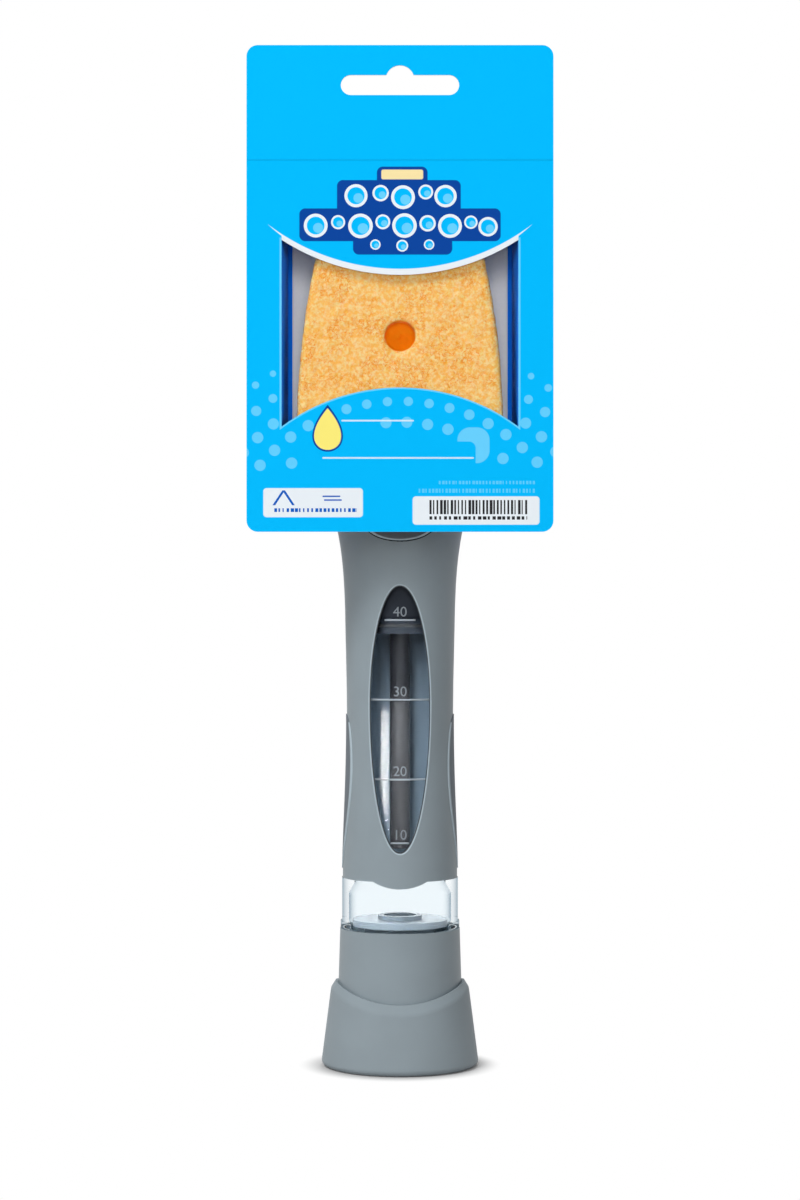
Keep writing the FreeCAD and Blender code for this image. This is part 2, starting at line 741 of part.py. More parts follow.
def make_button():
    oval = oval_prism("button_oval", "button_half_width", "button_half_height", f"-({FAR})", "button_back",
                      "button_level")
    bulge = rod("button_bulge", "button_bulge_radius", "0", "head_base * 2", y="button_front + button_bulge_radius")
    back = value("button_back - button_rounding")
    face = edged("Part::Fillet", "button_face", shared("button_blank", oval, bulge), "button_rounding",
                 lambda edge: edge.BoundBox.YMax < back)
    named("soap_button", face)
    stem = rod("plunger_stem", "stem_radius", "button_back", "piston_front + fit_gap", "y", z="button_level")
    piston = rod("plunger_piston", "piston_radius", "piston_front", "piston_front + piston_length", "y",
                 z="button_level")
    seal_ring = "pump_bore_radius - fit_gap - piston_seal_radius"
    groove = ring("plunger_groove", seal_ring, "piston_seal_radius + fit_gap / 2", "piston_middle",
                  "button_level", ALONG_Y)
    named("plunger", cut("plunger", joined("plunger_blank", stem, piston), groove))
    named("plunger_seal", ring("plunger_seal", seal_ring, "piston_seal_radius", "piston_middle",
                               "button_level", ALONG_Y))


def helix_point(angle, radius, start, pitch, level):
    """A point of the spring's middle line, and the direction of the wire there."""
    point = Vector(radius * math.cos(angle), start + pitch * angle / math.tau, level + radius * math.sin(angle))
    way = Vector(-radius * math.sin(angle), pitch / math.tau, radius * math.cos(angle))
    return point, way.normalize()


def arc_between(start, bend, end):
    """The round edge from start to end whose end tangents meet at bend."""
    middle = (start + end) / 2
    half = (end - start).Length / 2
    height = (bend - middle).Length
    swell = half * math.tan(math.atan2(height, half) / 2)
    return Part.Arc(start, middle + (bend - middle) * (swell / height), end).toShape()


def make_return_spring():
    """The coil spring behind the button: quarter turns of two tangent arcs each, in one tube."""
    wire_radius = value("spring_wire_radius")
    radius = value("spring_radius")
    level = value("button_level")
    start = value("button_back + spring_wire_radius + fit_gap")
    length = value("pocket_floor - spring_wire_radius - fit_gap") - start
    turns = value("spring_turns")
    edges = []
    for quarter in range(int(round(turns * 4))):
        ends = [helix_point(step * math.pi / 2, radius, start, length / turns, level)
                for step in (quarter, quarter + 1)]
        (first, first_way), (last, last_way) = ends
        span = last - first
        along = span.dot(first_way + last_way)
        bend = 2 * (1 - first_way.dot(last_way))
        reach = (math.sqrt(along ** 2 + bend * span.dot(span)) - along) / bend
        near = first + first_way * reach
        far = last - last_way * reach
        edges.append(arc_between(first, near, (near + far) / 2))
        edges.append(arc_between((near + far) / 2, far, last))
    path = Part.Wire(edges)
    point, way = helix_point(0, radius, start, length / turns, level)
    section = Part.Wire(Part.Circle(point, way, wire_radius).toShape())
    item = doc.addObject("Part::Feature", "return_spring")
    item.Shape = path.makePipeShell([section], True, False)
    gap = length / turns * math.cos(math.atan2(length / turns, math.tau * radius)) - 2 * wire_radius
    print(f"return_spring: least gap between turns {gap:.2f} mm")
    named("return_spring", item)


# Soap path: dip tube in the bottle, delivery tube up the back of the paddle, nozzle
def make_soap_path():
    named("dip_tube", cut("dip_tube", rod("dip_outer", "dip_tube_radius", "dip_low", "dip_top"),
                          rod("dip_inner", "dip_tube_radius - dip_tube_wall", "0", "head_base")))
    flange_back = "paddle_back + nozzle_flange_thickness"
    tube = [soap_tube(name, radius) for name, radius in
            (("soap_tube_outer", "soap_tube_radius"), ("soap_tube_inner", "soap_tube_radius - soap_tube_wall"))]
    named("soap_tube", cut("soap_tube", *tube))
    sleeve = rod("nozzle_sleeve", "nozzle_radius", "carrier_back + fit_gap", flange_back, "y", z="soap_level")
    flange = rod("nozzle_flange", "nozzle_flange_radius", "paddle_back", flange_back, "y", z="soap_level")
    bore = rod("nozzle_bore", "nozzle_bore_radius", f"-({FAR})", FAR, "y", z="soap_level")
    named("nozzle_seal", cut("nozzle_seal", joined("nozzle_blank", sleeve, flange), bore))


def soap_tube(name, radius):
    """A round bar along the delivery tube's line: straight up, then a bend to the nozzle."""
    upright_top = "soap_level - soap_tube_bend"
    upright = rod(name + "_upright", radius, "pump_top", upright_top, y="soap_tube_depth")
    bend = tie(doc.addObject("Part::Torus", name + "_bend"), Radius1="soap_tube_bend", Radius2=radius)
    bend.Angle3 = 90
    place(bend, "0", "soap_tube_depth - soap_tube_bend", upright_top,
          Rotation(Vector(0, 1, 0), Vector(0, 0, 1), Vector(1, 0, 0)))
    runout = rod(name + "_runout", radius, "paddle_back + nozzle_flange_thickness",
                 "soap_tube_depth - soap_tube_bend", "y", z="soap_level")
    return joined(name, upright, bend, runout)


# Refill: the sponge and the plate that slides on the rails
def make_refill():
    plate = head_egg("carrier_blank", "carrier_front", "carrier_back", "carrier_inset",
                     "sponge_base + carrier_inset")
    slots = []
    for name, side in (("left", "-"), ("right", "")):
        for part, width, front, back in (
                ("stem", "rail_stem_width", "rail_step - slide_gap", "carrier_back + fit_gap"),
                ("head", "rail_head_width", "rail_face - slide_gap", "rail_step + slide_gap")):
            half = f"({width} / 2 + slide_gap)"
            slots.append(block(f"slot_{name}_{part}", (f"{side}rail_offset - {half}", f"{side}rail_offset + {half}"),
                               (front, back), ("head_base", "rail_top + slide_gap")))
    port = rod("carrier_port", "nozzle_bore_radius + slide_gap", f"-({FAR})", FAR, "y", z="soap_level")
    named("carrier_plate", cut("carrier_plate", plate, *slots, port))
    blank = head_egg("sponge_blank", "sponge_front", "carrier_front", "0", "sponge_base")
    front = value("sponge_front")
    soft = edged("Part::Fillet", "sponge_soft", blank, "sponge_rounding", lambda edge: edge.BoundBox.YMax < front + SNAP)
    mouth = rod("sponge_mouth", "soap_hole_radius", f"-({FAR})", "sponge_front + soap_hole_depth", "y",
                z="soap_level")
    bore = rod("sponge_bore", "soap_bore_radius", f"-({FAR})", FAR, "y", z="soap_level")
    named("sponge", cut("sponge", soft, mouth, bore))


def view_outline(outline):
    """The card's window: two upright sides, a sagging edge above and an arched edge below."""
    side = value("tray_half_width")
    low = "head_base + view_low"
    high = "head_base + view_high"
    curve = "(tray_half_width ^ 2 + {0} ^ 2) / (2 * {0})"
    sag = curve.format("view_sag")
    rise = curve.format("view_rise")
    right_low = Vector(side, value(low), 0)
    right_high = Vector(side, value(high), 0)
    left_low = Vector(-side, value(low), 0)
    left_high = Vector(-side, value(high), 0)
    above = Vector(0, value(f"{high} - view_sag + {sag}"), 0)
    below = Vector(0, value(f"{low} + view_rise - {rise}"), 0)
    outline.addGeometry(Part.LineSegment(right_low, right_high))
    round_edge(outline, above, value(sag), left_high, right_high)
    outline.addGeometry(Part.LineSegment(left_high, left_low))
    round_edge(outline, below, value(rise), right_low, left_low)
    pin(outline, 0, 1, "tray_half_width", low)
    pin(outline, 0, 2, "tray_half_width", high)
    pin(outline, 2, 1, "-tray_half_width", high)
    pin(outline, 2, 2, "-tray_half_width", low)
    for meeting in ((0, 2, 1, 2), (1, 1, 2, 1), (2, 2, 3, 2), (3, 1, 0, 1)):
        outline.addConstraint(Sketcher.Constraint("Coincident", *meeting))
    hold_radius(outline, 1, sag)
    hold_radius(outline, 3, rise)


# Sleeve card: flat front panel with its window and hang slot, and the tray glued to its back
def make_card():
    body = doc.addObject("PartDesign::Body", "card_blank")
    outline = new_sketch(body, "XZ_Plane", "-card_back")
    polygon(outline, (("-card_half_width", "card_low"), ("card_half_width", "card_low"),
                      ("card_half_width", "card_high"), ("-card_half_width", "card_high")))
    padded(body, outline, "card_thickness")
    panel = edged("Part::Fillet", "card_corners", body, "card_corner_radius",
                  lambda edge: edge.BoundBox.XLength < SNAP and edge.BoundBox.ZLength < SNAP)
    view = doc.addObject("PartDesign::Body", "card_view")
    view_sketch = new_sketch(view, "XZ_Plane", "0 - card_back - fit_gap")
    view_outline(view_sketch)
    padded(view, view_sketch, "card_thickness + 3 * fit_gap")
    reach = ("card_front - fit_gap", "card_back + fit_gap")
    straight = "(slot_width - slot_height) / 2"
    slot = [block("slot_middle", (f"-{straight}", straight), reach,
                  ("slot_level - slot_height / 2", "slot_level + slot_height / 2"))]
    for name, middle in (("left", f"-{straight}"), ("right", straight)):
        slot.append(rod(f"slot_{name}", "slot_height / 2", *reach, "y", x=middle, z="slot_level"))
    slot.append(rod("slot_bump", "slot_bump_radius", *reach, "y", z="slot_level + slot_bump_rise"))
    named("display_card", cut("display_card", panel, view, *slot))
    wall = "card_thickness"
    outer = block("tray_outer", (f"-tray_half_width - {wall}", f"tray_half_width + {wall}"),
                  ("card_back", f"tray_back + {wall}"), ("tray_low", f"tray_high + {wall}"))
    inner = block("tray_inner", ("-tray_half_width", "tray_half_width"),
                  ("card_back - fit_gap", "tray_back"), ("tray_low - fit_gap", "tray_high"))
    named("card_tray", cut("card_tray", outer, inner))


make_stand_foot()
make_screw_cap()
make_reservoir()
make_handle()
make_spine_cover()
make_pump()
make_button()
make_return_spring()
make_soap_path()
make_refill()
make_card()
doc.recompute()

faults = [item.Label for item in doc.Objects if {"Invalid", "Error"} & set(item.State)]
faults += [item.Label for item in PIECES if item.Shape.isNull() or not item.Shape.isValid()]
if faults:
    raise RuntimeError("not built: " + ", ".join(faults))
os.makedirs("parts", exist_ok=True)
for item in PIECES:
    item.Shape.exportStep(f"parts/{item.Label}.step")
    print(f"{item.Label}: {len(item.Shape.Solids)} solid, {item.Shape.Volume:.0f} mm3")
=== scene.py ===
"""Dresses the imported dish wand: grey handle and foot, clear soap bottle, sponge and sleeve card."""

import json
import math

import bmesh
import bpy
from bpy.props import FloatProperty, FloatVectorProperty, PointerProperty
from mathutils import Matrix, Vector, noise


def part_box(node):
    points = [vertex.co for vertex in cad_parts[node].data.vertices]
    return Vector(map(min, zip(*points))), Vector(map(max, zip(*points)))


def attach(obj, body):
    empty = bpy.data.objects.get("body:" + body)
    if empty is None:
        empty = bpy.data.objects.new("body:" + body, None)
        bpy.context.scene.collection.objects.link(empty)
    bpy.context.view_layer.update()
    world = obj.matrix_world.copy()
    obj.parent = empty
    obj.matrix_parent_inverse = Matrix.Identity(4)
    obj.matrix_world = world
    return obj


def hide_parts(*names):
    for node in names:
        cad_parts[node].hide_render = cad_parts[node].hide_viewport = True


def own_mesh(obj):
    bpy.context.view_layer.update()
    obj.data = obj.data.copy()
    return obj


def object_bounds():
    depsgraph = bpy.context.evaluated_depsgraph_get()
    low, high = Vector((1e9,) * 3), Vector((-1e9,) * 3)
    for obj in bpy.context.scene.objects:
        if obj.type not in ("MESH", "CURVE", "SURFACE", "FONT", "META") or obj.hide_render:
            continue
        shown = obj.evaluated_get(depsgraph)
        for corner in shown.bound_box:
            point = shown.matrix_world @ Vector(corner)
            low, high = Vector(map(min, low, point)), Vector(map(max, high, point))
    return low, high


bl_info = {
    "name": "Dish Wand",
    "version": (1, 0, 0),
    "blender": (4, 5, 0),
    "location": "3D View > Sidebar > Wand",
    "description": "Finishes, sponge, printed card and studio for a soap-dispensing dish wand",
    "category": "Object",
}

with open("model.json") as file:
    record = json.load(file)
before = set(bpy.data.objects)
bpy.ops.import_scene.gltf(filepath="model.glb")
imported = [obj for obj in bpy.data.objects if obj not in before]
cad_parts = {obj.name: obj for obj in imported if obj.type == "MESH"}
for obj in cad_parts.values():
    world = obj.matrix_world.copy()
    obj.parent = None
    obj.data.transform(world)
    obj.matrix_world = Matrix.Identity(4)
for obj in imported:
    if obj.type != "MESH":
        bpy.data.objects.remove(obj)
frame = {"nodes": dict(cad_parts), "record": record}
CAD_LOW, CAD_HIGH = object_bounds()
NODES = frame["nodes"]
MILLIMETRE = 0.001

# Moulded surfaces: roughness, grain size and depth in mm, and how far flow marks shift the colour
SATIN = (0.44, 0.35, 0.03, 0.03)
CAP_SATIN = (0.42, 0.35, 0.03, 0.03)
SOFT_GRIP = (0.62, 0.30, 0.06, 0.06)
SOFT_FOOT = (0.52, 0.45, 0.04, 0.03)
GASKET_RUBBER = (0.40, 0.4, 0.02, 0.05)
SEAL_RUBBER = (0.55, 0.4, 0.03, 0.1)
PUMP_PLASTIC = (0.40, 0.5, 0.02, 0.15)
TUBE_PLASTIC = (0.25, 0.8, 0.02, 0.15)
SILICONE = (0.30, 0.6, 0.02, 0.05)
FROSTED = (0.30, 0.3, 0.02, 0.05)

# Handle's window in mm: half its width, its lowest, widest and highest level, and its rim's back
WINDOW_HALF = 8.04
WINDOW_LOW = 60.0
WINDOW_WIDEST = 99.93
WINDOW_HIGH = 132.6
WINDOW_BACK = -9.0

# How far outside the window's oval its painted shadow line and its painted highlight fade out, in mm
SHADOW_LINE_FADE = (0.2, 0.3)
RIM_HIGHLIGHT_FADE = (0.52, 0.66)

# Grip: its widest level as a share of its height, its end radii and the fade of its painted highlight
# line, in mm
GRIP_RATIO = 0.62
GRIP_LOW_RADIUS = 1.5
GRIP_HIGH_RADIUS = 6.0
GRIP_HIGHLIGHT_FADE = (0.55, 0.75)

# Where the button's painted edge highlight starts and is full, as shares of its half sizes
BUTTON_HIGHLIGHT_FADE = (0.90, 0.95)

# Soap hole in mm: its level, and the fades of the painted glow in the hole and of the orange on the
# carrier behind it
HOLE_LEVEL = 199.9
HOLE_GLOW_FADE = (3.9, 4.4)
HOLE_ORANGE_FADE = (4.2, 5.0)

# Foam in the narrow bore behind the soap hole, in mm: radius, and gaps to the front and the back
FILLER_RADIUS = 1.6
FILLER_FRONT = 6.8
FILLER_BACK = 0.2

# Depth in front of the sponge's glued back over which its pores fade out, in mm
PORE_FADE = 1.2

# Neck thread: turns, steps, bead width as a share of the pitch, and start above the gasket in mm
THREAD_TURNS = 1.6
THREAD_STEPS = 96
THREAD_SHARE = 0.4
THREAD_START = 1.4

# Steps in half a line on the bottle, and a figure's height as a share of its font size
MARK_STEPS = 14
FIGURE_SHARE = 0.7

MARKS = (
    # Height of each line above the sole in mm, half its sweep in degrees, and its number
    (123.4, 19.0, "40"),
    (101.6, 38.0, "30"),
    (79.8, 37.0, "20"),
    (62.4, 11.0, "10"),
)

# Window of the card, in mm: half width, ends of its upper edge and its lower edge, and their bows
VIEW_HALF = 31.75
VIEW_HIGH = 225.5
VIEW_SAG = 9.4
VIEW_LOW = 175.4
VIEW_RISE = 10.5
CREASE_LEVEL = 246.8

# Pale lines round the card's window, in mm: reach of the arch's line across its edge, then how far
# outside the edge the middle of a side's line is, and half its width
ARCH_LINE = (-0.2, 0.42)
SIDE_LINE = (0.3, 0.25)

# Softness of printed edges in mm
INK_EDGE = 0.08

# Crescent in mm: half its width, the level of its tips and the lowest levels of its two edges
CRESCENT_HALF = 35.4
CRESCENT_HIGH = 229.6
CRESCENT_UPPER = 217.7
CRESCENT_LOWER = 215.8

# Dots along the arch, in mm: pitch, gap to the arch, and the levels between which they shrink
DOT_PITCH = 5.6
DOT_MARGIN = 0.9
DOT_FADE = (174.0, 193.0)
# Dot radius below and what it loses above, as shares of the pitch
DOT_SHARE = 0.27
DOT_LOSS = 0.13
# Second row of dots, middle and half length, then the inner edge of the side dots and the levels of all
DOT_SECOND = (6.0, 10.5)
DOT_SIDES = 25.0
DOT_ROWS = 4.5
DOT_LEVELS = (164.5, 192.0)

PLATES = (
    # Centre and half sizes of the stepped plate's blocks, in mm
    ((0.6, 241.0), (6.8, 4.1)),
    ((-0.3, 236.4), (16.6, 5.1)),
    ((0.0, 229.5), (27.0, 4.4)),
    ((0.7, 225.4), (13.3, 3.9)),
)

BUBBLES = (
    # Centre across, centre up and radius of each bubble on the plate, in mm
    (-11.8, 237.3, 3.1),
    (-5.2, 238.0, 2.2),
    (0.8, 236.9, 3.2),
    (6.9, 238.3, 2.0),
    (12.2, 237.2, 3.0),
    (-22.6, 229.3, 3.2),
    (-16.6, 230.2, 1.9),
    (-10.6, 229.2, 3.3),
    (-4.6, 230.3, 2.0),
    (1.2, 229.3, 3.3),
    (7.4, 229.9, 2.2),
    (13.4, 229.2, 3.2),
    (19.0, 230.2, 1.8),
    (23.6, 229.0, 2.6),
    (-6.6, 224.2, 1.4),
    (0.6, 223.9, 1.6),
    (7.8, 224.2, 1.4),
)

# Inside of a bubble, and its glint's shift and size, as shares of its radius
BUBBLE_INSIDE = 0.74
GLINT_SHIFT = 0.2
GLINT_SHARE = 0.42

# Small bar at the head of the plate: centre, half sizes and corner in mm
CREAM_BAR = ((0.6, 243.0), (5.6, 1.3), 0.5)
# Corner radius of the plate's blocks, in mm
PLATE_CORNER = 1.6

RULES = (
    # Centre and half sizes of the fine white rules, in mm
    ((-6.0, 177.0), (9.7, 0.22)),
    ((-0.5, 167.0), (20.3, 0.22)),
)

# Bent pipe beside the arch, a plate less a smaller one: centre, half sizes and corner in mm
PIPE = ((19.7, 170.4), (4.3, 4.8), 3.4)
PIPE_INSIDE = ((16.3, 167.4), (4.0, 4.0), 1.8)

# Drop in mm: its middle, then the lowest level, height and half width of its outline and of its inside
DROP_MIDDLE = -19.4
DROP_OUTLINE = (168.65, 12.6, 4.1)
DROP_INSIDE = (169.15, 11.2, 3.62)

SMALL_MARKS = (
    # Left end, level and height of the rows of small pale marks, in mm
    (10.4, 160.4, 0.9),
    (5.0, 158.2, 1.1),
)
# Right end and pitch of both rows
SMALL_RIGHT = 36.3
SMALL_PITCH = 0.9

PATCHES = (
    # Centre and half sizes of the white patches at the card's foot, in mm
    ((-23.3, 155.0), (13.35, 3.9)),
    ((20.4, 152.9), (17.0, 3.8)),
)
PATCH_CORNER = 0.9

# Chevron on the left patch, in mm: its middle, its two levels, its slope and half its stroke
CHEVRON_MIDDLE = -31.2
CHEVRON_LEVELS = (154.3, 158.3)
CHEVRON_SLOPE = 0.66
CHEVRON_STROKE = 0.36

DASH_PAIR = (
    # Centres of two short strokes on the left patch, in mm
    (-18.4, 156.7),
    (-18.0, 155.7),
)
# Half sizes of each stroke
DASH_HALF = (2.4, 0.2)

# Rows of marks on the patches, in mm: left end, right end, level, height and pitch
LEFT_MARKS = (-33.7, -11.6, 153.0, 1.0, 1.1)
TALL_BARS = (7.9, 34.1, 153.8, 3.8, 0.95)
LOW_BARS = (7.9, 34.1, 150.9, 0.9, 1.3)

# Tray in mm: half its board, then how far the bare and the blue strips reach in from its inner sides
TRAY_WALL = 0.3
TRAY_BARE = 1.6
TRAY_BLUE = 1.2

LAMPS = (
    # Name, place and size in metres, and power in watts of each lamp that is aimed at the wand's middle
    ("key_lamp", (-0.67, -0.858, 1.35), (0.5, 0.5), 17.6),
    ("back_lamp", (0.15, 1.40, 0.90), (0.6, 0.6), 13.0),
    ("front_lamp", (0.0, -1.60, 0.30), (0.24, 0.26), 8.6),
    ("side_lamp", (-0.17, -1.50, 0.85), (0.16, 1.2), 10.8),
)

TRAY_LAMPS = (
    # The same for small lamps that shine past the sponge on the tray's sides and back
    ("tray_lamp_left", (-0.45, -1.54, 0.05), (0.2, 0.08), 24.0),
    ("tray_lamp_middle", (0.0, -1.60, 0.05), (0.2, 0.08), 3.5),
    ("tray_lamp_right", (0.45, -1.54, 0.05), (0.2, 0.08), 24.0),
)

# Lamp that only shows as a highlight on the bottle, and the point it is aimed at
WINDOW_LAMP = ("window_lamp", (-0.361, -0.476, 0.044), (0.21, 0.063), 8.6)
WINDOW_SPOT = (0.0, -0.013, 0.081)

# Floor: half its size in metres, then its gap under the foot and its fade from shadow to white, in mm
FLOOR_HALF = 6.0
FLOOR_GAP = 0.2
FLOOR_FADE = (20.0, 28.5)
# Its own grey, and the share of white that it shows in the foot's shadow
FLOOR_GREY = (0.52, 0.52, 0.52)
FLOOR_GLOW = 0.05

# Light that comes from all round
WORLD_LIGHT = (0.085, 0.085, 0.085)
WHITE = (1.0, 1.0, 1.0)


def box_mm(node):
    """Lowest and highest corner of a CAD node, in millimetres."""
    low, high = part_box(node)
    return Vector(low) / MILLIMETRE, Vector(high) / MILLIMETRE


def toned(tint, share):
    """A darker or lighter tint: its light times a share, and white at most."""
    return [min(1.0, part * share) for part in tint]


def colour(name, description, default):
    """A colour that a user may change."""
    return FloatVectorProperty(name=name, description=description, subtype="COLOR", size=3,
                               min=0.0, max=1.0, default=default)


def length(name, description, default):
    """A length that a user may change, in metres."""
    return FloatProperty(name=name, description=description, subtype="DISTANCE", unit="LENGTH",
                         min=0.0, default=default, precision=5)


class WandColours(bpy.types.PropertyGroup):
    """Colours of the wand's plastics, rubber and foam."""
    handle: colour("Handle", "Satin grey of the handle, cap and cover", (0.255, 0.305, 0.335))
    # Painted light: the handle's inside is lighter than its outside grey, and darker near the pump as
    # painted shade
    bore: colour("Handle inside", "Inner wall behind the bottle's foot", (0.330, 0.382, 0.444))
    bore_painted_shade_top: colour("Handle inside, top", "Inner wall near the pump", (0.165, 0.192, 0.245))
    # Painted light: the cap's inside is much paler than its outside grey
    well: colour("Cap inside", "Inner wall of the cap round the bottle's neck", (0.620, 0.680, 0.730))
    foot: colour("Foot", "Soft grey of the stand foot", (0.265, 0.315, 0.345))
    # Painted highlight colour, used on the window's edge, the grips' edges and the button's edge
    rim: colour("Window rim", "Polished edge of the handle's window", (0.430, 0.515, 0.565))
    # Painted shadow line just inside the window's edge
    painted_shadow_line: colour("Window line", "Dark line inside the window's edge", (0.036, 0.042, 0.050))
    gasket: colour("Gasket", "Milky washer in the cap", (0.660, 0.700, 0.730))
    seal: colour("Seals", "Black rubber rings of the pump", (0.020, 0.020, 0.022))
    silicone: colour("Silicone", "Milky soap tube and outlet valve", (0.620, 0.650, 0.670))
    carrier: colour("Carrier", "White plate behind the sponge", (0.740, 0.760, 0.770))
    steel: colour("Steel", "Spring and valve ball", (0.660, 0.660, 0.680))
    grip: colour("Grip", "Dark soft inlays in the handle's sides", (0.140, 0.165, 0.190))
    button: colour("Button", "Dark grey of the soap button", (0.085, 0.100, 0.120))
    pump: colour("Pump", "Dark body of the pump", (0.025, 0.030, 0.040))
    # Painted shade: the same tube is painted darker near the pump
    tube: colour("Dip tube", "Smoky dip tube", (0.082, 0.078, 0.083))
    tube_painted_shade_top: colour("Dip tube, top", "Smoky dip tube near the pump", (0.026, 0.026, 0.031))
    clear: colour("Clear plastic", "Tint of the soap bottle", (0.930, 0.970, 0.990))
    clear_edge: colour("Clear edge", "Tint of the bottle's wall edge-on", (0.130, 0.230, 0.310))
    plug: colour("Plug", "Milky plug under the bottle", (0.250, 0.292, 0.330))
    marks: colour("Marks", "Raised lines on the bottle", (0.420, 0.470, 0.520))
    figures: colour("Figures", "Raised numbers on the bottle", (0.220, 0.250, 0.280))
    foam: colour("Foam", "Body colour of the sponge", (1.000, 0.510, 0.115))
    # Partly random tone of the foam, partly painted light: deep orange as painted shade in pores, pale
    # tips as painted highlights
    foam_deep: colour("Foam pits", "Darker orange down in the pores", (0.960, 0.300, 0.015))
    foam_light: colour("Foam tips", "Pale tips of the foam's walls", (1.000, 0.690, 0.310))
    # Painted light: saturated orange stands in for light glowing through the translucent foam in the
    # hole
    foam_hole_glow: colour("Soap hole", "Wet, saturated foam inside the soap hole", (1.000, 0.320, 0.004))


class CardColours(bpy.types.PropertyGroup):
    """Inks and board of the sleeve card."""
    sky: colour("Sky blue", "Main ink of the card", (0.000, 0.500, 1.000))
    navy: colour("Navy", "Ink of the plate and the drop's outline", (0.003, 0.058, 0.330))
    deep: colour("Deep blue", "Ink along the edges of the tray's back", (0.006, 0.190, 0.860))
    wall: colour("Wall blue", "Ink of the tray's inner sides", (0.008, 0.200, 0.900))
    pale: colour("Pale blue", "Dots and fine lines", (0.140, 0.640, 1.000))
    white: colour("White", "Crescent, patches and outlines", (0.820, 0.880, 0.930))
    cream: colour("Cream", "Small bar at the head of the plate", (0.950, 0.780, 0.400))
    yellow: colour("Yellow", "Drop printed beside the arch", (0.980, 0.850, 0.200))
    board: colour("Board", "Bare board at the cut edges", (0.780, 0.770, 0.750))
    greyback: colour("Grey back", "Inside of the tray's back", (0.880, 0.870, 0.860))
    sky_ink: colour("Mark blue", "Small marks on the left patch", (0.004, 0.110, 0.520))
    bar: colour("Bars", "Dark stripes on the right patch", (0.020, 0.020, 0.024))


class WandSizes(bpy.types.PropertyGroup):
    """Sizes that the dressing adds to the frame's own."""
    camera_distance: length("Camera distance", "From the lens to the handle's axis", 0.760)
    camera_height: length("Camera height", "Above the surface that the foot stands on", 0.1289)
    view_height: length("View height", "Height of the picture at the handle's axis", 0.3336)
    sponge_cell: length("Sponge cell", "Grid of the sponge's surface", 0.00062)
    pore_depth: length("Pore depth", "Depth of the sponge's larger pores", 0.00055)
    mark_proud: length("Mark height", "How far the bottle's marks stand out", 0.00018)
    mark_width: length("Mark width", "Height of each line on the bottle", 0.0005)
    thread_pitch: length("Thread pitch", "Rise of the neck's thread in one turn of the cap", 0.005)
    thread_proud: length("Thread height", "How far the neck's thread stands out", 0.00014)
    figure_height: length("Figure height", "Height of the numbers on the bottle", 0.0027)


class Wire:
    """A shader value that takes part in Python sums; each sum adds its Math node."""

    def __init__(self, finish, socket):
        self.finish = finish
        self.socket = socket

    def math(self, operation, *values):
        """A Math node on values in order."""
        sockets = dict(enumerate(values))
        item = self.finish.node("ShaderNodeMath", {"operation": operation}, sockets)
        return Wire(self.finish, item.outputs[0])

    def __add__(self, other):
        return self.math("ADD", self, other)

    def __radd__(self, other):
        return self.math("ADD", other, self)

    def __sub__(self, other):
        return self.math("SUBTRACT", self, other)

    def __rsub__(self, other):
        return self.math("SUBTRACT", other, self)

    def __mul__(self, other):
        return self.math("MULTIPLY", self, other)

    def __rmul__(self, other):
        return self.math("MULTIPLY", other, self)

    def __truediv__(self, other):
        return self.math("DIVIDE", self, other)

    def __gt__(self, other):
        return self.math("GREATER_THAN", self, other)

    def __lt__(self, other):
        return self.math("LESS_THAN", self, other)

    def __abs__(self):
        return self.math("ABSOLUTE", self)

    def __and__(self, other):
        return self.math("MULTIPLY", self, other)

    def __or__(self, other):
        return self.math("MAXIMUM", self, other)

    def root(self):
        """Square root."""
        return self.math("SQRT", self)

    def floor(self):
        """Whole part."""
        return self.math("FLOOR", self)

    def part(self):
        """Part after the point."""
        return self.math("FRACT", self)

    def angle(self, across):
        """Angle of the point (across, self)."""
        return self.math("ARCTAN2", self, across)

    def sine(self):
        """Sine of an angle."""
        return self.math("SINE", self)

    def cosine(self):
        """Cosine of an angle."""
        return self.math("COSINE", self)

    def step(self, low, high):
        """Rises smoothly from 0 at low to 1 at high."""
        settings = {"interpolation_type": "SMOOTHSTEP", "clamp": True}
        sockets = {0: self, 1: low, 2: high, 3: 0.0, 4: 1.0}
        item = self.finish.node("ShaderNodeMapRange", settings, sockets)
        return Wire(self.finish, item.outputs[0])


class Nodes:
    """A node tree that is filled from expressions."""

    def __init__(self, tree):
        self.tree = tree
        tree.nodes.clear()

    def node(self, kind, settings=None, inputs=None):
        """Any node: its settings first, then the values or links of its sockets."""
        item = self.tree.nodes.new(kind)
        for key, setting in (settings or {}).items():
            setattr(item, key, setting)
        for key, given in (inputs or {}).items():
            self.feed(item.inputs[key], given)
        return item

    def feed(self, socket, given):
        """Links a wire or an output to a socket, or writes a plain value on it."""
        if isinstance(given, Wire):
            given = given.socket
        if isinstance(given, bpy.types.NodeSocket):
            self.tree.links.new(given, socket)
        elif socket.type == "RGBA" and len(given) == 3:
            socket.default_value = (*given, 1.0)
        else:
            socket.default_value = given

    def seen(self):
        """1 for rays from the camera, in reflections and through glass, 0 for other light."""
        path = self.node("ShaderNodeLightPath")
        camera, glossy, clear = (Wire(self, path.outputs[f"Is {kind} Ray"])
                                 for kind in ("Camera", "Glossy", "Transmission"))
        return camera | glossy | clear

    def mix(self, factor, first, second):
        """Blends two colours."""
        item = self.node("ShaderNodeMix", {"data_type": "RGBA"}, {0: factor, 6: first, 7: second})
        return item.outputs[2]


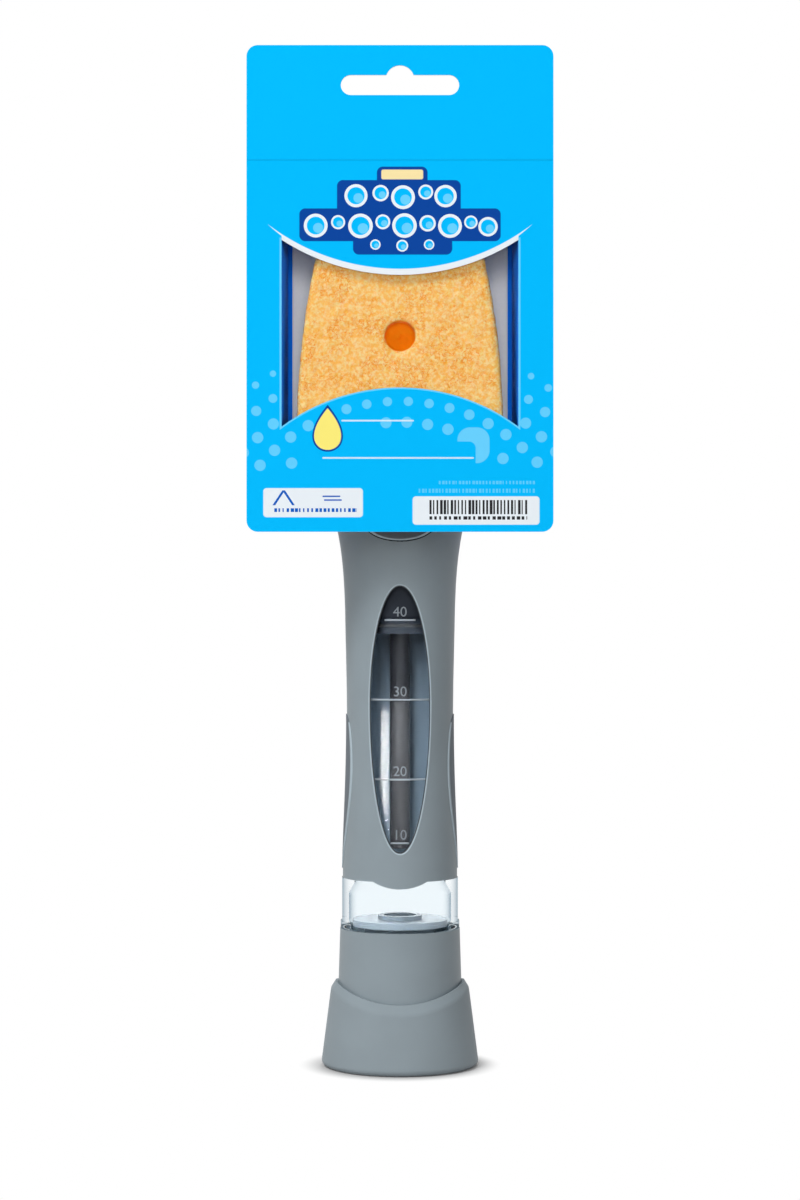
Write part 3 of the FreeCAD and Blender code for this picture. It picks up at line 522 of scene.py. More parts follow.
class Finish(Nodes):
    """A node material made from expressions on the object's own coordinates."""

    def __init__(self, name):
        self.material = bpy.data.materials.new(name)
        self.material.use_nodes = True
        super().__init__(self.material.node_tree)
        self.shader = self.node("ShaderNodeBsdfPrincipled")
        self.output = self.node("ShaderNodeOutputMaterial", None, {0: self.shader.outputs[0]})

    def spot(self):
        """The object's own coordinates in millimetres, as a vector socket and three wires."""
        coordinates = self.node("ShaderNodeTexCoord")
        scaled = self.node("ShaderNodeVectorMath", {"operation": "SCALE"},
                           {0: coordinates.outputs["Object"], "Scale": 1 / MILLIMETRE})
        parts = self.node("ShaderNodeSeparateXYZ", None, {0: scaled.outputs[0]})
        return scaled.outputs[0], *(Wire(self, parts.outputs[axis]) for axis in range(3))

    def noise(self, vector, size, detail=2.0, roughness=0.5):
        """Soft noise whose features are about size millimetres across."""
        item = self.node("ShaderNodeTexNoise", None, {"Vector": vector, "Scale": 1 / size,
                                                      "Detail": detail, "Roughness": roughness})
        return Wire(self, item.outputs[0])

    def cells(self, vector, size):
        """Distance to the nearest of scattered points about size millimetres apart."""
        item = self.node("ShaderNodeTexVoronoi", None, {"Vector": vector, "Scale": 1 / size})
        return Wire(self, item.outputs["Distance"])

    def speckle(self, number):
        """A steady random value from 0 to 1 for each whole number."""
        item = self.node("ShaderNodeTexWhiteNoise", {"noise_dimensions": "1D"}, {"W": number})
        return Wire(self, item.outputs[0])

    def bump(self, height, strength, distance):
        """Relief on the surface, with heights scaled to a distance in metres."""
        item = self.node("ShaderNodeBump", None,
                         {"Height": height, "Strength": strength, "Distance": distance})
        self.feed(self.shader.inputs["Normal"], item.outputs[0])

    def surface(self, **sockets):
        """Feeds the shader's sockets by name, with underscores for spaces."""
        for name, given in sockets.items():
            title = name.replace("_", " ").title().replace("Ior", "IOR")
            self.feed(self.shader.inputs[title], given)
        return self.material

    def cover(self, share, shader):
        """Lays another shader over the surface by a share."""
        blend = self.node("ShaderNodeMixShader", None,
                          {0: share, 1: self.shader.outputs[0], 2: shader.outputs[0]})
        self.feed(self.output.inputs[0], blend.outputs[0])

    def mottled(self, vector, size, detail, tint, share):
        """A tint that noise darkens here and there to a share of it."""
        return self.mix(self.noise(vector, size, detail), toned(tint, share), tint)


def dress(material, *nodes):
    """Gives CAD nodes a finish in all their material slots."""
    for node in nodes:
        for slot in NODES[node].material_slots:
            slot.material = material


def moulded(name, tint, surface, inside=None, shine=0.5, trim=None):
    """Moulded plastic or rubber: fine spark-eroded grain, faint flow marks, uneven gloss."""
    gloss, grain_size, grain_depth, change = surface
    finish = Finish(name)
    vector, x, y, z = finish.spot()
    flow = finish.noise(vector, 14.0, 3.0)
    fine = finish.noise(vector, grain_size, 2.0, 0.6)
    shade = finish.mix(flow.step(0.3, 0.7), toned(tint, 1 - change), toned(tint, 1 + change))
    # Within a radius an inner wall gets its own colours from low to high: painted light and shade for
    # insides the lamps hardly reach
    if inside is not None:
        radius, deep, top, low_shade, high_shade = inside
        within = ((x * x + y * y).root() < radius) & (z < top)
        shade = finish.mix(within, shade, finish.mix(z.step(deep, top), low_shade, high_shade))
    if trim is not None:
        shade = trim(finish, x, y, z, shade)
    finish.bump(fine, 0.35, grain_depth * MILLIMETRE)
    return finish.surface(base_color=shade, roughness=gloss + 0.10 * fine, specular_ior_level=shine)


class WAND_OT_finish_handle(bpy.types.Operator):
    """Satin grain on the handle and its cover, soft dark grips and the button"""
    bl_idname = "wand.finish_handle"
    bl_label = "Handle"

    def execute(self, context):
        colours = context.scene.wand_colours
        low, high = box_mm("pump_block")
        foot = box_mm("handle_shell")[0].z
        # The inner wall is painted lighter than the outside, and painted darker towards the pump
        inside = ((high.x - low.x) / 2 + 0.4, foot, high.z + 0.4, colours.bore, colours.bore_painted_shade_top)
        shell = moulded("handle_satin", colours.handle, SATIN, inside, trim=self.window_highlight_and_shadow)
        dress(shell, "handle_shell")
        dress(moulded("cover_satin", colours.handle, SATIN), "spine_cover")
        grip = moulded("grip_soft", colours.grip, SOFT_GRIP, trim=self.grip_highlight)
        dress(grip, "left_grip", "right_grip")
        dress(self.button_finish(colours), "soap_button")
        return {"FINISHED"}

    def window_highlight_and_shadow(self, finish, x, y, z, shade):
        """A painted highlight along the window's edge, with a painted shadow line inside it."""
        up = z - WINDOW_WIDEST
        upper = up > 0.0
        tall = upper * (WINDOW_HIGH - WINDOW_WIDEST) + (1 - upper) * (WINDOW_WIDEST - WINDOW_LOW)
        side = x / WINDOW_HALF ** 2
        rise = up / (tall * tall)
        outside = (x * side + up * rise - 1) / (2 * (side * side + rise * rise).root())
        front = y < WINDOW_BACK
        colours = bpy.context.scene.wand_colours
        # Painted highlight on the window's bevel, and a painted shadow line just inside it
        rim = (1 - outside.step(*RIM_HIGHLIGHT_FADE)) & front
        line = (1 - outside.step(*SHADOW_LINE_FADE)) & front
        return finish.mix(line, finish.mix(rim, shade, colours.rim), colours.painted_shadow_line)

    def grip_highlight(self, finish, x, y, z, shade):
        """A painted highlight line along the edge of a grip, whose sides are two arcs from its widest
        level.
        """
        low, high = box_mm("left_grip")
        half = high.y
        middle = low.z + GRIP_RATIO * (high.z - low.z)
        arcs = []
        for end, radius in (low.z, GRIP_LOW_RADIUS), (high.z, GRIP_HIGH_RADIUS):
            tall = abs(end - middle)
            arcs.append((half ** 2 + tall ** 2 - 2 * radius * tall) / (2 * (half - radius)))
        upper = z > middle
        arc = upper * arcs[1] + (1 - upper) * arcs[0]
        inset = arc - distance(abs(y), z, (half - arc, middle))
        # The grip's edge gets the painted highlight colour
        return finish.mix(1 - inset.step(*GRIP_HIGHLIGHT_FADE), shade, bpy.context.scene.wand_colours.rim)

    def button_finish(self, colours):
        """Dark satin button with a painted highlight along its outer edge."""
        finish = Finish("button_satin")
        vector, x, y, z = finish.spot()
        low, high = box_mm("soap_button")
        middle = (low + high) / 2
        across = (x - middle.x) / ((high.x - low.x) / 2)
        up = (z - middle.z) / ((high.z - low.z) / 2)
        fine = finish.noise(vector, 0.35, 2.0, 0.6)
        # Painted highlight along the button's outer edge
        edge = (across * across + up * up).root().step(*BUTTON_HIGHLIGHT_FADE)
        shade = finish.mix(fine, toned(colours.button, 0.94), colours.button)
        finish.bump(fine, 0.35, 0.03 * MILLIMETRE)
        return finish.surface(base_color=finish.mix(edge, shade, colours.rim),
                              roughness=0.40 + 0.10 * fine)


class WAND_OT_finish_foot(bpy.types.Operator):
    """Grey cap, softer stand foot, milky plug and black seals"""
    bl_idname = "wand.finish_foot"
    bl_label = "Cap and foot"

    def execute(self, context):
        colours = context.scene.wand_colours
        rim = box_mm("screw_cap")[1].z
        well = box_mm("cap_gasket")[1]
        # The cap's inner wall is painted pale as painted light
        inside = (well.x + 0.6, well.z, rim - 0.1, colours.well, colours.well)
        dress(moulded("cap_satin", colours.handle, CAP_SATIN, inside), "screw_cap")
        dress(moulded("foot_soft", colours.foot, SOFT_FOOT), "stand_foot")
        dress(moulded("gasket_milky", colours.gasket, GASKET_RUBBER), "cap_gasket")
        seal = moulded("seal_black", colours.seal, SEAL_RUBBER)
        dress(seal, "bottle_seal", "plunger_seal", "nozzle_seal")
        dress(self.plug_finish(colours), "cap_plug")
        return {"FINISHED"}

    def plug_finish(self, colours):
        """Milky plastic that lets some light through."""
        finish = Finish("plug_milky")
        cloud = finish.noise(finish.spot()[0], 5.0, 3.0)
        shade = finish.mix(cloud, toned(colours.plug, 0.92), colours.plug)
        return finish.surface(base_color=shade, roughness=0.22 + 0.08 * cloud, ior=1.48,
                              subsurface_weight=0.2, subsurface_radius=(0.004, 0.004, 0.005),
                              transmission_weight=0.25)


class WAND_OT_finish_pump(bpy.types.Operator):
    """Dark pump, smoky dip tube, milky silicone and bright steel inside the handle"""
    bl_idname = "wand.finish_pump"
    bl_label = "Pump"

    def execute(self, context):
        colours = context.scene.wand_colours
        dress(moulded("pump_dark", colours.pump, PUMP_PLASTIC, shine=0.1), "pump_block", "plunger")
        level = [height for height, sweep, text in MARKS if text == "30"][0]
        radius = box_mm("dip_tube")[1].x + 1
        # The tube is painted darker above the 30 line as painted shade
        inside = (radius, level - 5, level + 5, colours.tube, colours.tube_painted_shade_top)
        dress(moulded("tube_smoky", colours.tube_painted_shade_top, TUBE_PLASTIC, inside, shine=0.2), "dip_tube")
        dress(moulded("silicone_milky", colours.silicone, SILICONE), "soap_tube", "outlet_valve")
        dress(self.carrier_finish(colours), "carrier_plate")
        bright = self.steel_finish(colours.steel)
        dress(bright, "inlet_ball")
        self.wind_spring(bright)
        return {"FINISHED"}

    def carrier_finish(self, colours):
        """White plate, with the foam's deep orange round the soap's way out."""
        finish = Finish("carrier_white")
        vector, x, y, z = finish.spot()
        fine = finish.noise(vector, 0.4, 2.0)
        front = y < box_mm("carrier_plate")[0].y + 0.3
        hole_orange = (1 - distance(x, z, (0.0, HOLE_LEVEL)).step(*HOLE_ORANGE_FADE)) & front
        white = finish.mix(fine, toned(colours.carrier, 0.934), colours.carrier)
        finish.bump(fine, 0.3, 0.03 * MILLIMETRE)
        return finish.surface(base_color=finish.mix(hole_orange, white, colours.foam_deep),
                              roughness=0.4 + 0.1 * fine)

    def steel_finish(self, tint):
        """Bright drawn steel."""
        finish = Finish("steel_bright")
        drawn = finish.noise(finish.spot()[0], 0.3, 2.0)
        return finish.surface(base_color=finish.mix(drawn, toned(tint, 0.76), tint), metallic=1.0,
                              roughness=0.22 + 0.12 * drawn)

    def wind_spring(self, bright):
        """A copy of the spring rides on the handle in its seat; the share of its length left by the
        button's travel is worked out but not applied.
        """
        low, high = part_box("return_spring")
        joints = frame["record"]["behaviour"]["joints"]
        travel = [joint["range_m"][1] for joint in joints if joint["name"] == "button_press"][0]
        mesh = NODES["return_spring"].data.copy()
        coil = new_piece("spring_coil", mesh, bright, "handle")
        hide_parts("return_spring")
        1 - travel / (high[1] - low[1])
        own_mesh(coil)


def clear_plastic(tint, edge):
    """Clear plastic with faint sink marks, deeper in colour edge-on; lamps shine through it."""
    finish = Finish("bottle_clear")
    sink = finish.noise(finish.spot()[0], 9.0, 1.0)
    finish.bump(sink, 0.05, 0.05 * MILLIMETRE)
    layer = finish.node("ShaderNodeLayerWeight", None, {"Blend": 0.5})
    facing = Wire(finish, layer.outputs["Facing"])
    coordinates = finish.node("ShaderNodeTexCoord")
    normal = finish.node("ShaderNodeSeparateXYZ", None, {0: coordinates.outputs["Normal"]})
    upright = 1 - abs(Wire(finish, normal.outputs[2]))
    shade = finish.mix(facing.step(0.40, 0.95) * upright, tint, edge)
    finish.surface(base_color=shade, roughness=0.03, transmission_weight=1.0, ior=1.04,
                   coat_weight=0.06)
    path = finish.node("ShaderNodeLightPath")
    open_way = finish.node("ShaderNodeBsdfTransparent", None, {"Color": (0.93, 0.96, 0.97)})
    finish.cover(path.outputs["Is Shadow Ray"], open_way)
    return finish.material


def smooth(mesh):
    """Shades all faces smoothly."""
    for face in mesh.polygons:
        face.use_smooth = True


def final_mesh(holder):
    """The mesh that an object comes to with its modifiers; the object goes."""
    bpy.context.scene.collection.objects.link(holder)
    finished = holder.evaluated_get(bpy.context.evaluated_depsgraph_get())
    mesh = bpy.data.meshes.new_from_object(finished)
    bpy.data.objects.remove(holder)
    return mesh


def on_wall(reach, angle, level):
    """A point beside the handle's axis, from its distance, its angle from the front and its level."""
    return reach * math.sin(angle), -reach * math.cos(angle), level


def new_piece(name, mesh, material, body):
    """A finished mesh as a piece that rides on a CAD body."""
    piece = bpy.data.objects.new(name, mesh)
    bpy.context.scene.collection.objects.link(piece)
    piece.data.materials.clear()
    piece.data.materials.append(material)
    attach(piece, body)
    return piece


def bead_mesh(name, radius, spots, width, proud):
    """A low rounded bead on a round wall, along spots of an angle from the front and a level."""
    mesh = bpy.data.meshes.new(name)
    shape = bmesh.new()
    section = [(-0.5, -0.4), (-0.42, 0.55), (-0.2, 1.0), (0.2, 1.0), (0.42, 0.55), (0.5, -0.4)]
    last = len(spots) - 1
    rows = []
    for step, (angle, level) in enumerate(spots):
        ease = min(1.0, min(step, last - step) / 2 + 0.25)
        row = []
        for up, out in section:
            reach = radius + proud * out * (ease if out > 0 else 1.0)
            row.append(shape.verts.new(on_wall(reach, angle, level + width * up)))
        rows.append(row)
    for first, second in zip(rows, rows[1:]):
        for number in range(len(section)):
            after = (number + 1) % len(section)
            shape.faces.new((first[number], first[after], second[after], second[number]))
    shape.faces.new(rows[0][::-1])
    shape.faces.new(rows[-1])
    bmesh.ops.recalc_face_normals(shape, faces=shape.faces)
    shape.to_mesh(mesh)
    shape.free()
    smooth(mesh)
    return mesh


def figure_mesh(text, radius, level, height, proud):
    """A number raised on the bottle's front, wrapped round its wall."""
    curve = bpy.data.curves.new("figure", "FONT")
    curve.body = text
    curve.align_x = "CENTER"
    curve.size = height / FIGURE_SHARE
    curve.extrude = 1.0
    mesh = final_mesh(bpy.data.objects.new("figure", curve))
    bpy.data.curves.remove(curve)
    for point in mesh.vertices:
        reach = radius + (proud if point.co.z > 0 else -0.3 * proud)
        point.co = on_wall(reach, point.co.x / radius, level + point.co.y)
    return mesh


class WAND_OT_finish_bottle(bpy.types.Operator):
    """Clear bottle with its raised lines and numbers"""
    bl_idname = "wand.finish_bottle"
    bl_label = "Bottle"

    def execute(self, context):
        colours = context.scene.wand_colours
        sizes = context.scene.wand_sizes
        clear = clear_plastic(colours.clear, colours.clear_edge)
        dress(clear, "reservoir")
        marks = moulded("marks_frosted", colours.marks, FROSTED)
        figures = moulded("figures_frosted", colours.figures, FROSTED)
        low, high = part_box("pump_block")
        radius = (high[0] - low[0]) / 2 - 0.1 * MILLIMETRE
        for number, (level, sweep, text) in enumerate(MARKS, start=1):
            height = level * MILLIMETRE
            turns = [step / MARK_STEPS - 1 for step in range(2 * MARK_STEPS + 1)]
            spots = [(math.radians(sweep) * turn, height) for turn in turns]
            line = bead_mesh("bottle_mark", radius, spots, sizes.mark_width, sizes.mark_proud)
            new_piece(f"bottle_line_{number}", line, marks, "handle")
            foot = height + 2 * sizes.mark_width
            figure = figure_mesh(text, radius, foot, sizes.figure_height, sizes.mark_proud)
            new_piece(f"bottle_figure_{number}", figure, figures, "handle")
        self.cut_thread(clear, sizes)
        return {"FINISHED"}

    def cut_thread(self, clear, sizes):
        """A shallow screw thread on the neck, seen once the cap is off."""
        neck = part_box("cap_gasket")[1]
        start = neck[2] + THREAD_START * MILLIMETRE
        width = THREAD_SHARE * sizes.thread_pitch
        spots = []
        for step in range(THREAD_STEPS + 1):
            turn = THREAD_TURNS * step / THREAD_STEPS
            spots.append((2 * math.pi * turn, start + sizes.thread_pitch * turn))
        thread = bead_mesh("bottle_thread", neck[0], spots, width, sizes.thread_proud)
        new_piece("bottle_thread", thread, clear, "handle")


def foam_finish(colours):
    """Cellulose foam: random flecks, the pale ones painted highlights on the walls and the deep orange
    ones painted shade in the pits, and a painted glow in the soap hole.
    """
    finish = Finish("sponge_foam")
    vector, x, y, z = finish.spot()
    patch = finish.noise(vector, 6.0, 3.0, 0.6)
    crumb = finish.noise(vector, 1.15, 4.0, 0.72)
    grain = finish.noise(vector, 0.55, 3.0, 0.7)
    seam = finish.noise(vector, 2.1, 3.0, 0.65)
    pores = finish.cells(vector, 1.1)
    # Random flecks, partly painted light: pale ones as highlights on walls, deep orange ones as shade
    # in pits and cracks
    shade = finish.mix(crumb.step(0.42, 0.60), colours.foam, colours.foam_light)
    crack = (1 - abs(seam - 0.5).step(0.008, 0.032)) * patch.step(0.40, 0.58)
    shade = finish.mix(crack * 0.85, shade, colours.foam_deep)
    pits = (1 - crumb.step(0.28, 0.44)) * patch.step(0.36, 0.58)
    shade = finish.mix(pits * 0.6, shade, colours.foam_deep)
    shade = finish.mix((1 - grain.step(0.26, 0.42)) * 0.5, shade, colours.foam_deep)
    shade = finish.mix(grain.step(0.60, 0.74) * 0.6, shade, colours.foam_light)
    # Painted glow of light through the foam inside the soap hole
    hole_glow = 1 - distance(x, z, (0.0, HOLE_LEVEL)).step(*HOLE_GLOW_FADE)
    shade = finish.mix(hole_glow, shade, colours.foam_hole_glow)
    finish.bump(pores * 0.5 + crumb * 0.8 + grain * 0.4 - crack * 0.5, 0.5, 0.5 * MILLIMETRE)
    return finish.surface(base_color=shade, roughness=0.92, subsurface_weight=0.45,
                          subsurface_radius=(0.005, 0.0018, 0.0004), subsurface_scale=1.0)


def foam_height(point):
    """Relief of the foam at a point in millimetres: from -1 in a pore to about 0.3 on a wall."""
    swell = 0.30 * noise.noise(point * 0.45) + 0.22 * noise.noise(point * 1.1)
    near = noise.voronoi(point * 0.42)[0][0]
    pit = max(0.0, 1.0 - near / 0.38)
    small = max(0.0, 1.0 - noise.voronoi(point * 0.85 + Vector((7.0, 3.0, 5.0)))[0][0] / 0.34)
    return swell - 0.9 * pit * pit - 0.45 * small


def sponge_mesh(cell, depth):
    """The sponge's solid on a fine even grid, with its pores pressed in."""
    low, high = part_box("sponge")
    shape = bmesh.new()
    shape.from_mesh(NODES["sponge"].data)
    front = low[1] + FILLER_FRONT * MILLIMETRE
    back = high[1] - FILLER_BACK * MILLIMETRE
    radius = FILLER_RADIUS * MILLIMETRE
    centre = Matrix.Translation((0.0, (front + back) / 2, HOLE_LEVEL * MILLIMETRE))
    bmesh.ops.create_cone(shape, cap_ends=True, segments=24, radius1=radius, radius2=radius,
                          depth=back - front, matrix=centre @ Matrix.Rotation(math.radians(90), 4, "X"))
    source = bpy.data.meshes.new("sponge_source")
    shape.to_mesh(source)
    shape.free()
    holder = bpy.data.objects.new("sponge_source", source)
    remesh = holder.modifiers.new("even_grid", "REMESH")
    remesh.mode = "VOXEL"
    remesh.voxel_size = cell
    mesh = final_mesh(holder)
    bpy.data.meshes.remove(source)
    mesh.name = "sponge"
    moves = []
    for point in mesh.vertices:
        height = foam_height(point.co / MILLIMETRE)
        free = min(1.0, max(0.0, (high[1] - point.co.y) / (PORE_FADE * MILLIMETRE)))
        moves.append(point.normal * (depth * min(height, 0.25) * free))
    for point, move in zip(mesh.vertices, moves):
        point.co += move
    smooth(mesh)
    return mesh


class WAND_OT_make_sponge(bpy.types.Operator):
    """Sponge with real pores in place of its plain solid"""
    bl_idname = "wand.make_sponge"
    bl_label = "Sponge"

    def execute(self, context):
        colours = context.scene.wand_colours
        sizes = context.scene.wand_sizes
        mesh = sponge_mesh(sizes.sponge_cell, sizes.pore_depth)
        piece = new_piece("sponge_foam", mesh, foam_finish(colours), "refill")
        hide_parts("sponge")
        return {"FINISHED"}


def bow_radius(half, bow):
    """Radius of an arc from half its chord and its bow."""
    return (half * half + bow * bow) / (2 * bow)


def rounded_plate(x, z, centre, half, corner, soft=0.12):
    """1 inside an upright rounded rectangle, 0 outside."""
    over_x = (abs(x - centre[0]) - (half[0] - corner)) | 0.0
    over_z = (abs(z - centre[1]) - (half[1] - corner)) | 0.0
    return 1 - (over_x * over_x + over_z * over_z).root().step(corner - soft, corner + soft)


def distance(x, z, centre):
    """Distance from a point of the card's face."""
    across = x - centre[0]
    up = z - centre[1]
    return (across * across + up * up).root()


def crescent(x, z):
    """White crescent along the window's sagging upper edge."""
    soft = 0.1
    upper = bow_radius(CRESCENT_HALF, CRESCENT_HIGH - CRESCENT_UPPER)
    lower = bow_radius(CRESCENT_HALF, CRESCENT_HIGH - CRESCENT_LOWER)
    edge = bow_radius(VIEW_HALF, VIEW_SAG)
    below = distance(x, z, (0.0, CRESCENT_UPPER + upper)).step(upper - soft, upper + soft)
    above = 1 - distance(x, z, (0.0, CRESCENT_LOWER + lower)).step(lower - soft, lower + soft)
    near = distance(x, z, (0.0, VIEW_HIGH - VIEW_SAG + edge)) < edge + 0.3
    return below & (above | (near & (abs(x) < VIEW_HALF))) & (z < CRESCENT_HIGH)


def halftone(x, z):
    """Pale dots in rings along the arch, thinning out up the card's sides."""
    arch = bow_radius(VIEW_HALF, VIEW_RISE)
    centre = VIEW_LOW + VIEW_RISE - arch
    outer = arch - DOT_MARGIN
    row = ((outer - distance(x, z, (0.0, centre))) / DOT_PITCH).floor()
    ring = outer - (row + 0.5) * DOT_PITCH
    column = ((z - centre).angle(x) * ring / DOT_PITCH + 0.5 * row).floor()
    turn = (column + 0.5 - 0.5 * row) * DOT_PITCH / ring
    dot_x = ring * turn.cosine()
    dot_z = centre + ring * turn.sine()
    size = DOT_PITCH * (DOT_SHARE - DOT_LOSS * dot_z.step(*DOT_FADE))
    dot = 1 - (distance(x, z, (dot_x, dot_z)) - size).step(-INK_EDGE, INK_EDGE)
    low, high = DOT_LEVELS
    middle, reach = DOT_SECOND
    first = abs(row) < 0.5
    second = (abs(row - 1) < 0.5) & (abs(dot_x - middle) < reach)
    sides = (abs(dot_x) > DOT_SIDES) & (abs(row) < DOT_ROWS) & (dot_z < high)
    return dot & (first | second | sides) & (dot_z > low)


def drop(x, z, low, tall, half):
    """A plain drop that rises from a level: round below, drawn to a point above."""
    rise = (z - low) / tall
    left = (1 - rise) | 0.0
    # The product of root and rest is widest a third of the way up, where it is 1 / 2.6
    width = 2.6 * half * (rise | 0.0).root() * left
    inside = (width - abs(x - DROP_MIDDLE)).step(-INK_EDGE, INK_EDGE)
    return inside & (rise > 0.0) & (rise < 1.0)


def dashes(finish, x, z, left, right, level, tall, pitch):
    """A row of short marks of uneven width, too small to read."""
    place = (x - left) / pitch
    mark = place.part() < 0.30 + 0.55 * finish.speckle(place.floor() + level)
    return mark & (x > left) & (x < right) & (abs(z - level) < tall / 2)


def print_front(finish, colours, x, z, ink):
    """The card's arch line, plate of bubbles, crescent, drop and fine rules over its main ink."""
    arch = bow_radius(VIEW_HALF, VIEW_RISE)
    rim = arch - distance(x, z, (0.0, VIEW_LOW + VIEW_RISE - arch))
    low, high = ARCH_LINE
    line = (rim < high) & (rim > low) & (abs(x) < VIEW_HALF + 0.5) & (z < VIEW_HIGH - 20)
    outset, half = SIDE_LINE
    side = (abs(abs(x) - (VIEW_HALF + outset)) < half) & (z > VIEW_LOW) & (z < VIEW_HIGH + 0.6)
    ink = finish.mix(line, ink, colours.pale)
    ink = finish.mix(side, ink, colours.pale)
    for centre, half in PLATES:
        ink = finish.mix(rounded_plate(x, z, centre, half, PLATE_CORNER), ink, colours.navy)
    ink = finish.mix(rounded_plate(x, z, *CREAM_BAR), ink, colours.cream)
    for centre, half in RULES:
        ink = finish.mix(rounded_plate(x, z, centre, half, 0.2, 0.06) * 0.8, ink, colours.white)
    for across, up, radius in BUBBLES:
        gap = distance(x, z, (across, up))
        shift = radius * GLINT_SHIFT
        glint = distance(x, z, (across + shift, up - shift))
        ink = finish.mix(gap < radius, ink, colours.white)
        ink = finish.mix(gap < radius * BUBBLE_INSIDE, ink, colours.sky)
        ink = finish.mix(glint < radius * GLINT_SHARE, ink, colours.pale)
    ink = finish.mix(crescent(x, z), ink, colours.white)
    pipe = rounded_plate(x, z, *PIPE) & (1 - rounded_plate(x, z, *PIPE_INSIDE))
    ink = finish.mix(pipe, ink, colours.pale)
    for sizes, shade in (DROP_OUTLINE, colours.navy), (DROP_INSIDE, colours.yellow):
        ink = finish.mix(drop(x, z, *sizes), ink, shade)
    return ink


def print_labels(finish, colours, x, z, ink):
    """Rows of small marks and the two white patches at the card's foot."""
    for left, level, tall in SMALL_MARKS:
        row = dashes(finish, x, z, left, SMALL_RIGHT, level, tall, SMALL_PITCH)
        ink = finish.mix(row * 0.8, ink, colours.pale)
    for centre, half in PATCHES:
        ink = finish.mix(rounded_plate(x, z, centre, half, PATCH_CORNER), ink, colours.white)
    low, high = CHEVRON_LEVELS
    chevron = abs(abs(x - CHEVRON_MIDDLE) - (high - z) * CHEVRON_SLOPE) < CHEVRON_STROKE
    ink = finish.mix(chevron & (z > low) & (z < high), ink, colours.sky_ink)
    for centre in DASH_PAIR:
        ink = finish.mix(rounded_plate(x, z, centre, DASH_HALF, 0.2, 0.06), ink, colours.sky_ink)
    ink = finish.mix(dashes(finish, x, z, *LEFT_MARKS), ink, colours.sky_ink)
    bars = dashes(finish, x, z, *TALL_BARS) | dashes(finish, x, z, *LOW_BARS)
    return finish.mix(bars, ink, colours.bar)


def card_finish(colours):
    """Coated card: sky-blue ink with a crescent, dots, a plate of bubbles and two white patches."""
    finish = Finish("card_print")
    vector, x, y, z = finish.spot()
    ink = finish.mottled(vector, 20.0, 2.0, colours.sky, 0.985)
    ink = finish.mix(halftone(x, z) * 0.9, ink, colours.pale)
    ink = print_front(finish, colours, x, z, ink)
    ink = print_labels(finish, colours, x, z, ink)
    # Painted shade along the card's fold, darker than the ink around it
    crease = 1 - abs(z - CREASE_LEVEL).step(0.05, 0.45)
    ink = finish.mix(crease * 0.35, ink, toned(colours.sky, 0.55))
    printed = y < box_mm("display_card")[0].y + 0.12
    bare = finish.mottled(vector, 0.8, 3.0, colours.board, 0.93)
    fibre = finish.noise(vector, 1.6, 3.0)
    finish.bump(0.12 * fibre - crease, 0.25, 0.25 * MILLIMETRE)
    return finish.surface(base_color=finish.mix(printed, bare, ink), roughness=0.55 + 0.08 * fibre,
                          specular_ior_level=0.12)


def tray_finish(colours):
    """Board of the tray: blue inner sides, grey inner back, sky blue outside and bare cut edges."""
    finish = Finish("tray_print")
    vector, x, y, z = finish.spot()
    low, high = box_mm("card_tray")
    skin = high - Vector((TRAY_WALL, TRAY_WALL, TRAY_WALL))
    fibre = finish.noise(vector, 1.6, 3.0)
    outside = (abs(x) > skin.x) | (y > skin.y) | (z > skin.z)
    ink = finish.mottled(vector, 20.0, 2.0, colours.sky, 0.97)
    grey = finish.mottled(vector, 0.8, 3.0, colours.greyback, 0.92)
    inset = skin.x - TRAY_WALL - abs(x)
    back = y > skin.y - TRAY_WALL - 0.2
    inner = finish.mix(back, colours.wall, grey)
    inner = finish.mix(back & (inset < TRAY_BARE), inner, colours.board)
    inner = finish.mix(back & (inset < TRAY_BLUE), inner, colours.deep)
    cut = (z < low.z + 0.05) | (y < low.y + 0.05)
    shade = finish.mix(outside, inner, ink)
    shade = finish.mix(cut, shade, colours.board)
    finish.bump(fibre, 0.12, 0.06 * MILLIMETRE)
    return finish.surface(base_color=shade, roughness=0.55 + 0.08 * fibre, specular_ior_level=0.12)


class WAND_OT_print_card(bpy.types.Operator):
    """Printed face of the sleeve card and the board of its tray"""
    bl_idname = "wand.print_card"
    bl_label = "Sleeve card"

    def execute(self, context):
        colours = context.scene.card_colours
        dress(card_finish(colours), "display_card")
        dress(tray_finish(colours), "card_tray")
        return {"FINISHED"}


def soft_lamp(name, place, size, power, target, mirrored=False):
    """A rectangular studio lamp aimed at a point; it lights, or only shows as a reflection."""
    lamp = bpy.data.lights.new(name, "AREA")
    lamp.shape = "RECTANGLE"
    lamp.size, lamp.size_y = size
    lamp.energy = power
    holder = bpy.data.objects.new(name, lamp)
    bpy.context.scene.collection.objects.link(holder)
    holder.visible_diffuse = not mirrored
    holder.visible_glossy = mirrored
    holder.location = place
    holder.rotation_euler = (Vector(target) - Vector(place)).to_track_quat("-Z", "Y").to_euler()
    return holder


def aim_at(lamp, pieces, state="INCLUDE"):
    """Keeps a lamp to some pieces, or off them."""
    receivers = bpy.data.collections.new(f"{lamp.name}_pieces")
    lamp.light_linking.receiver_collection = receivers
    for piece in pieces:
        receivers.objects.link(piece)
    for member in receivers.collection_objects:
        member.light_linking.link_state = state


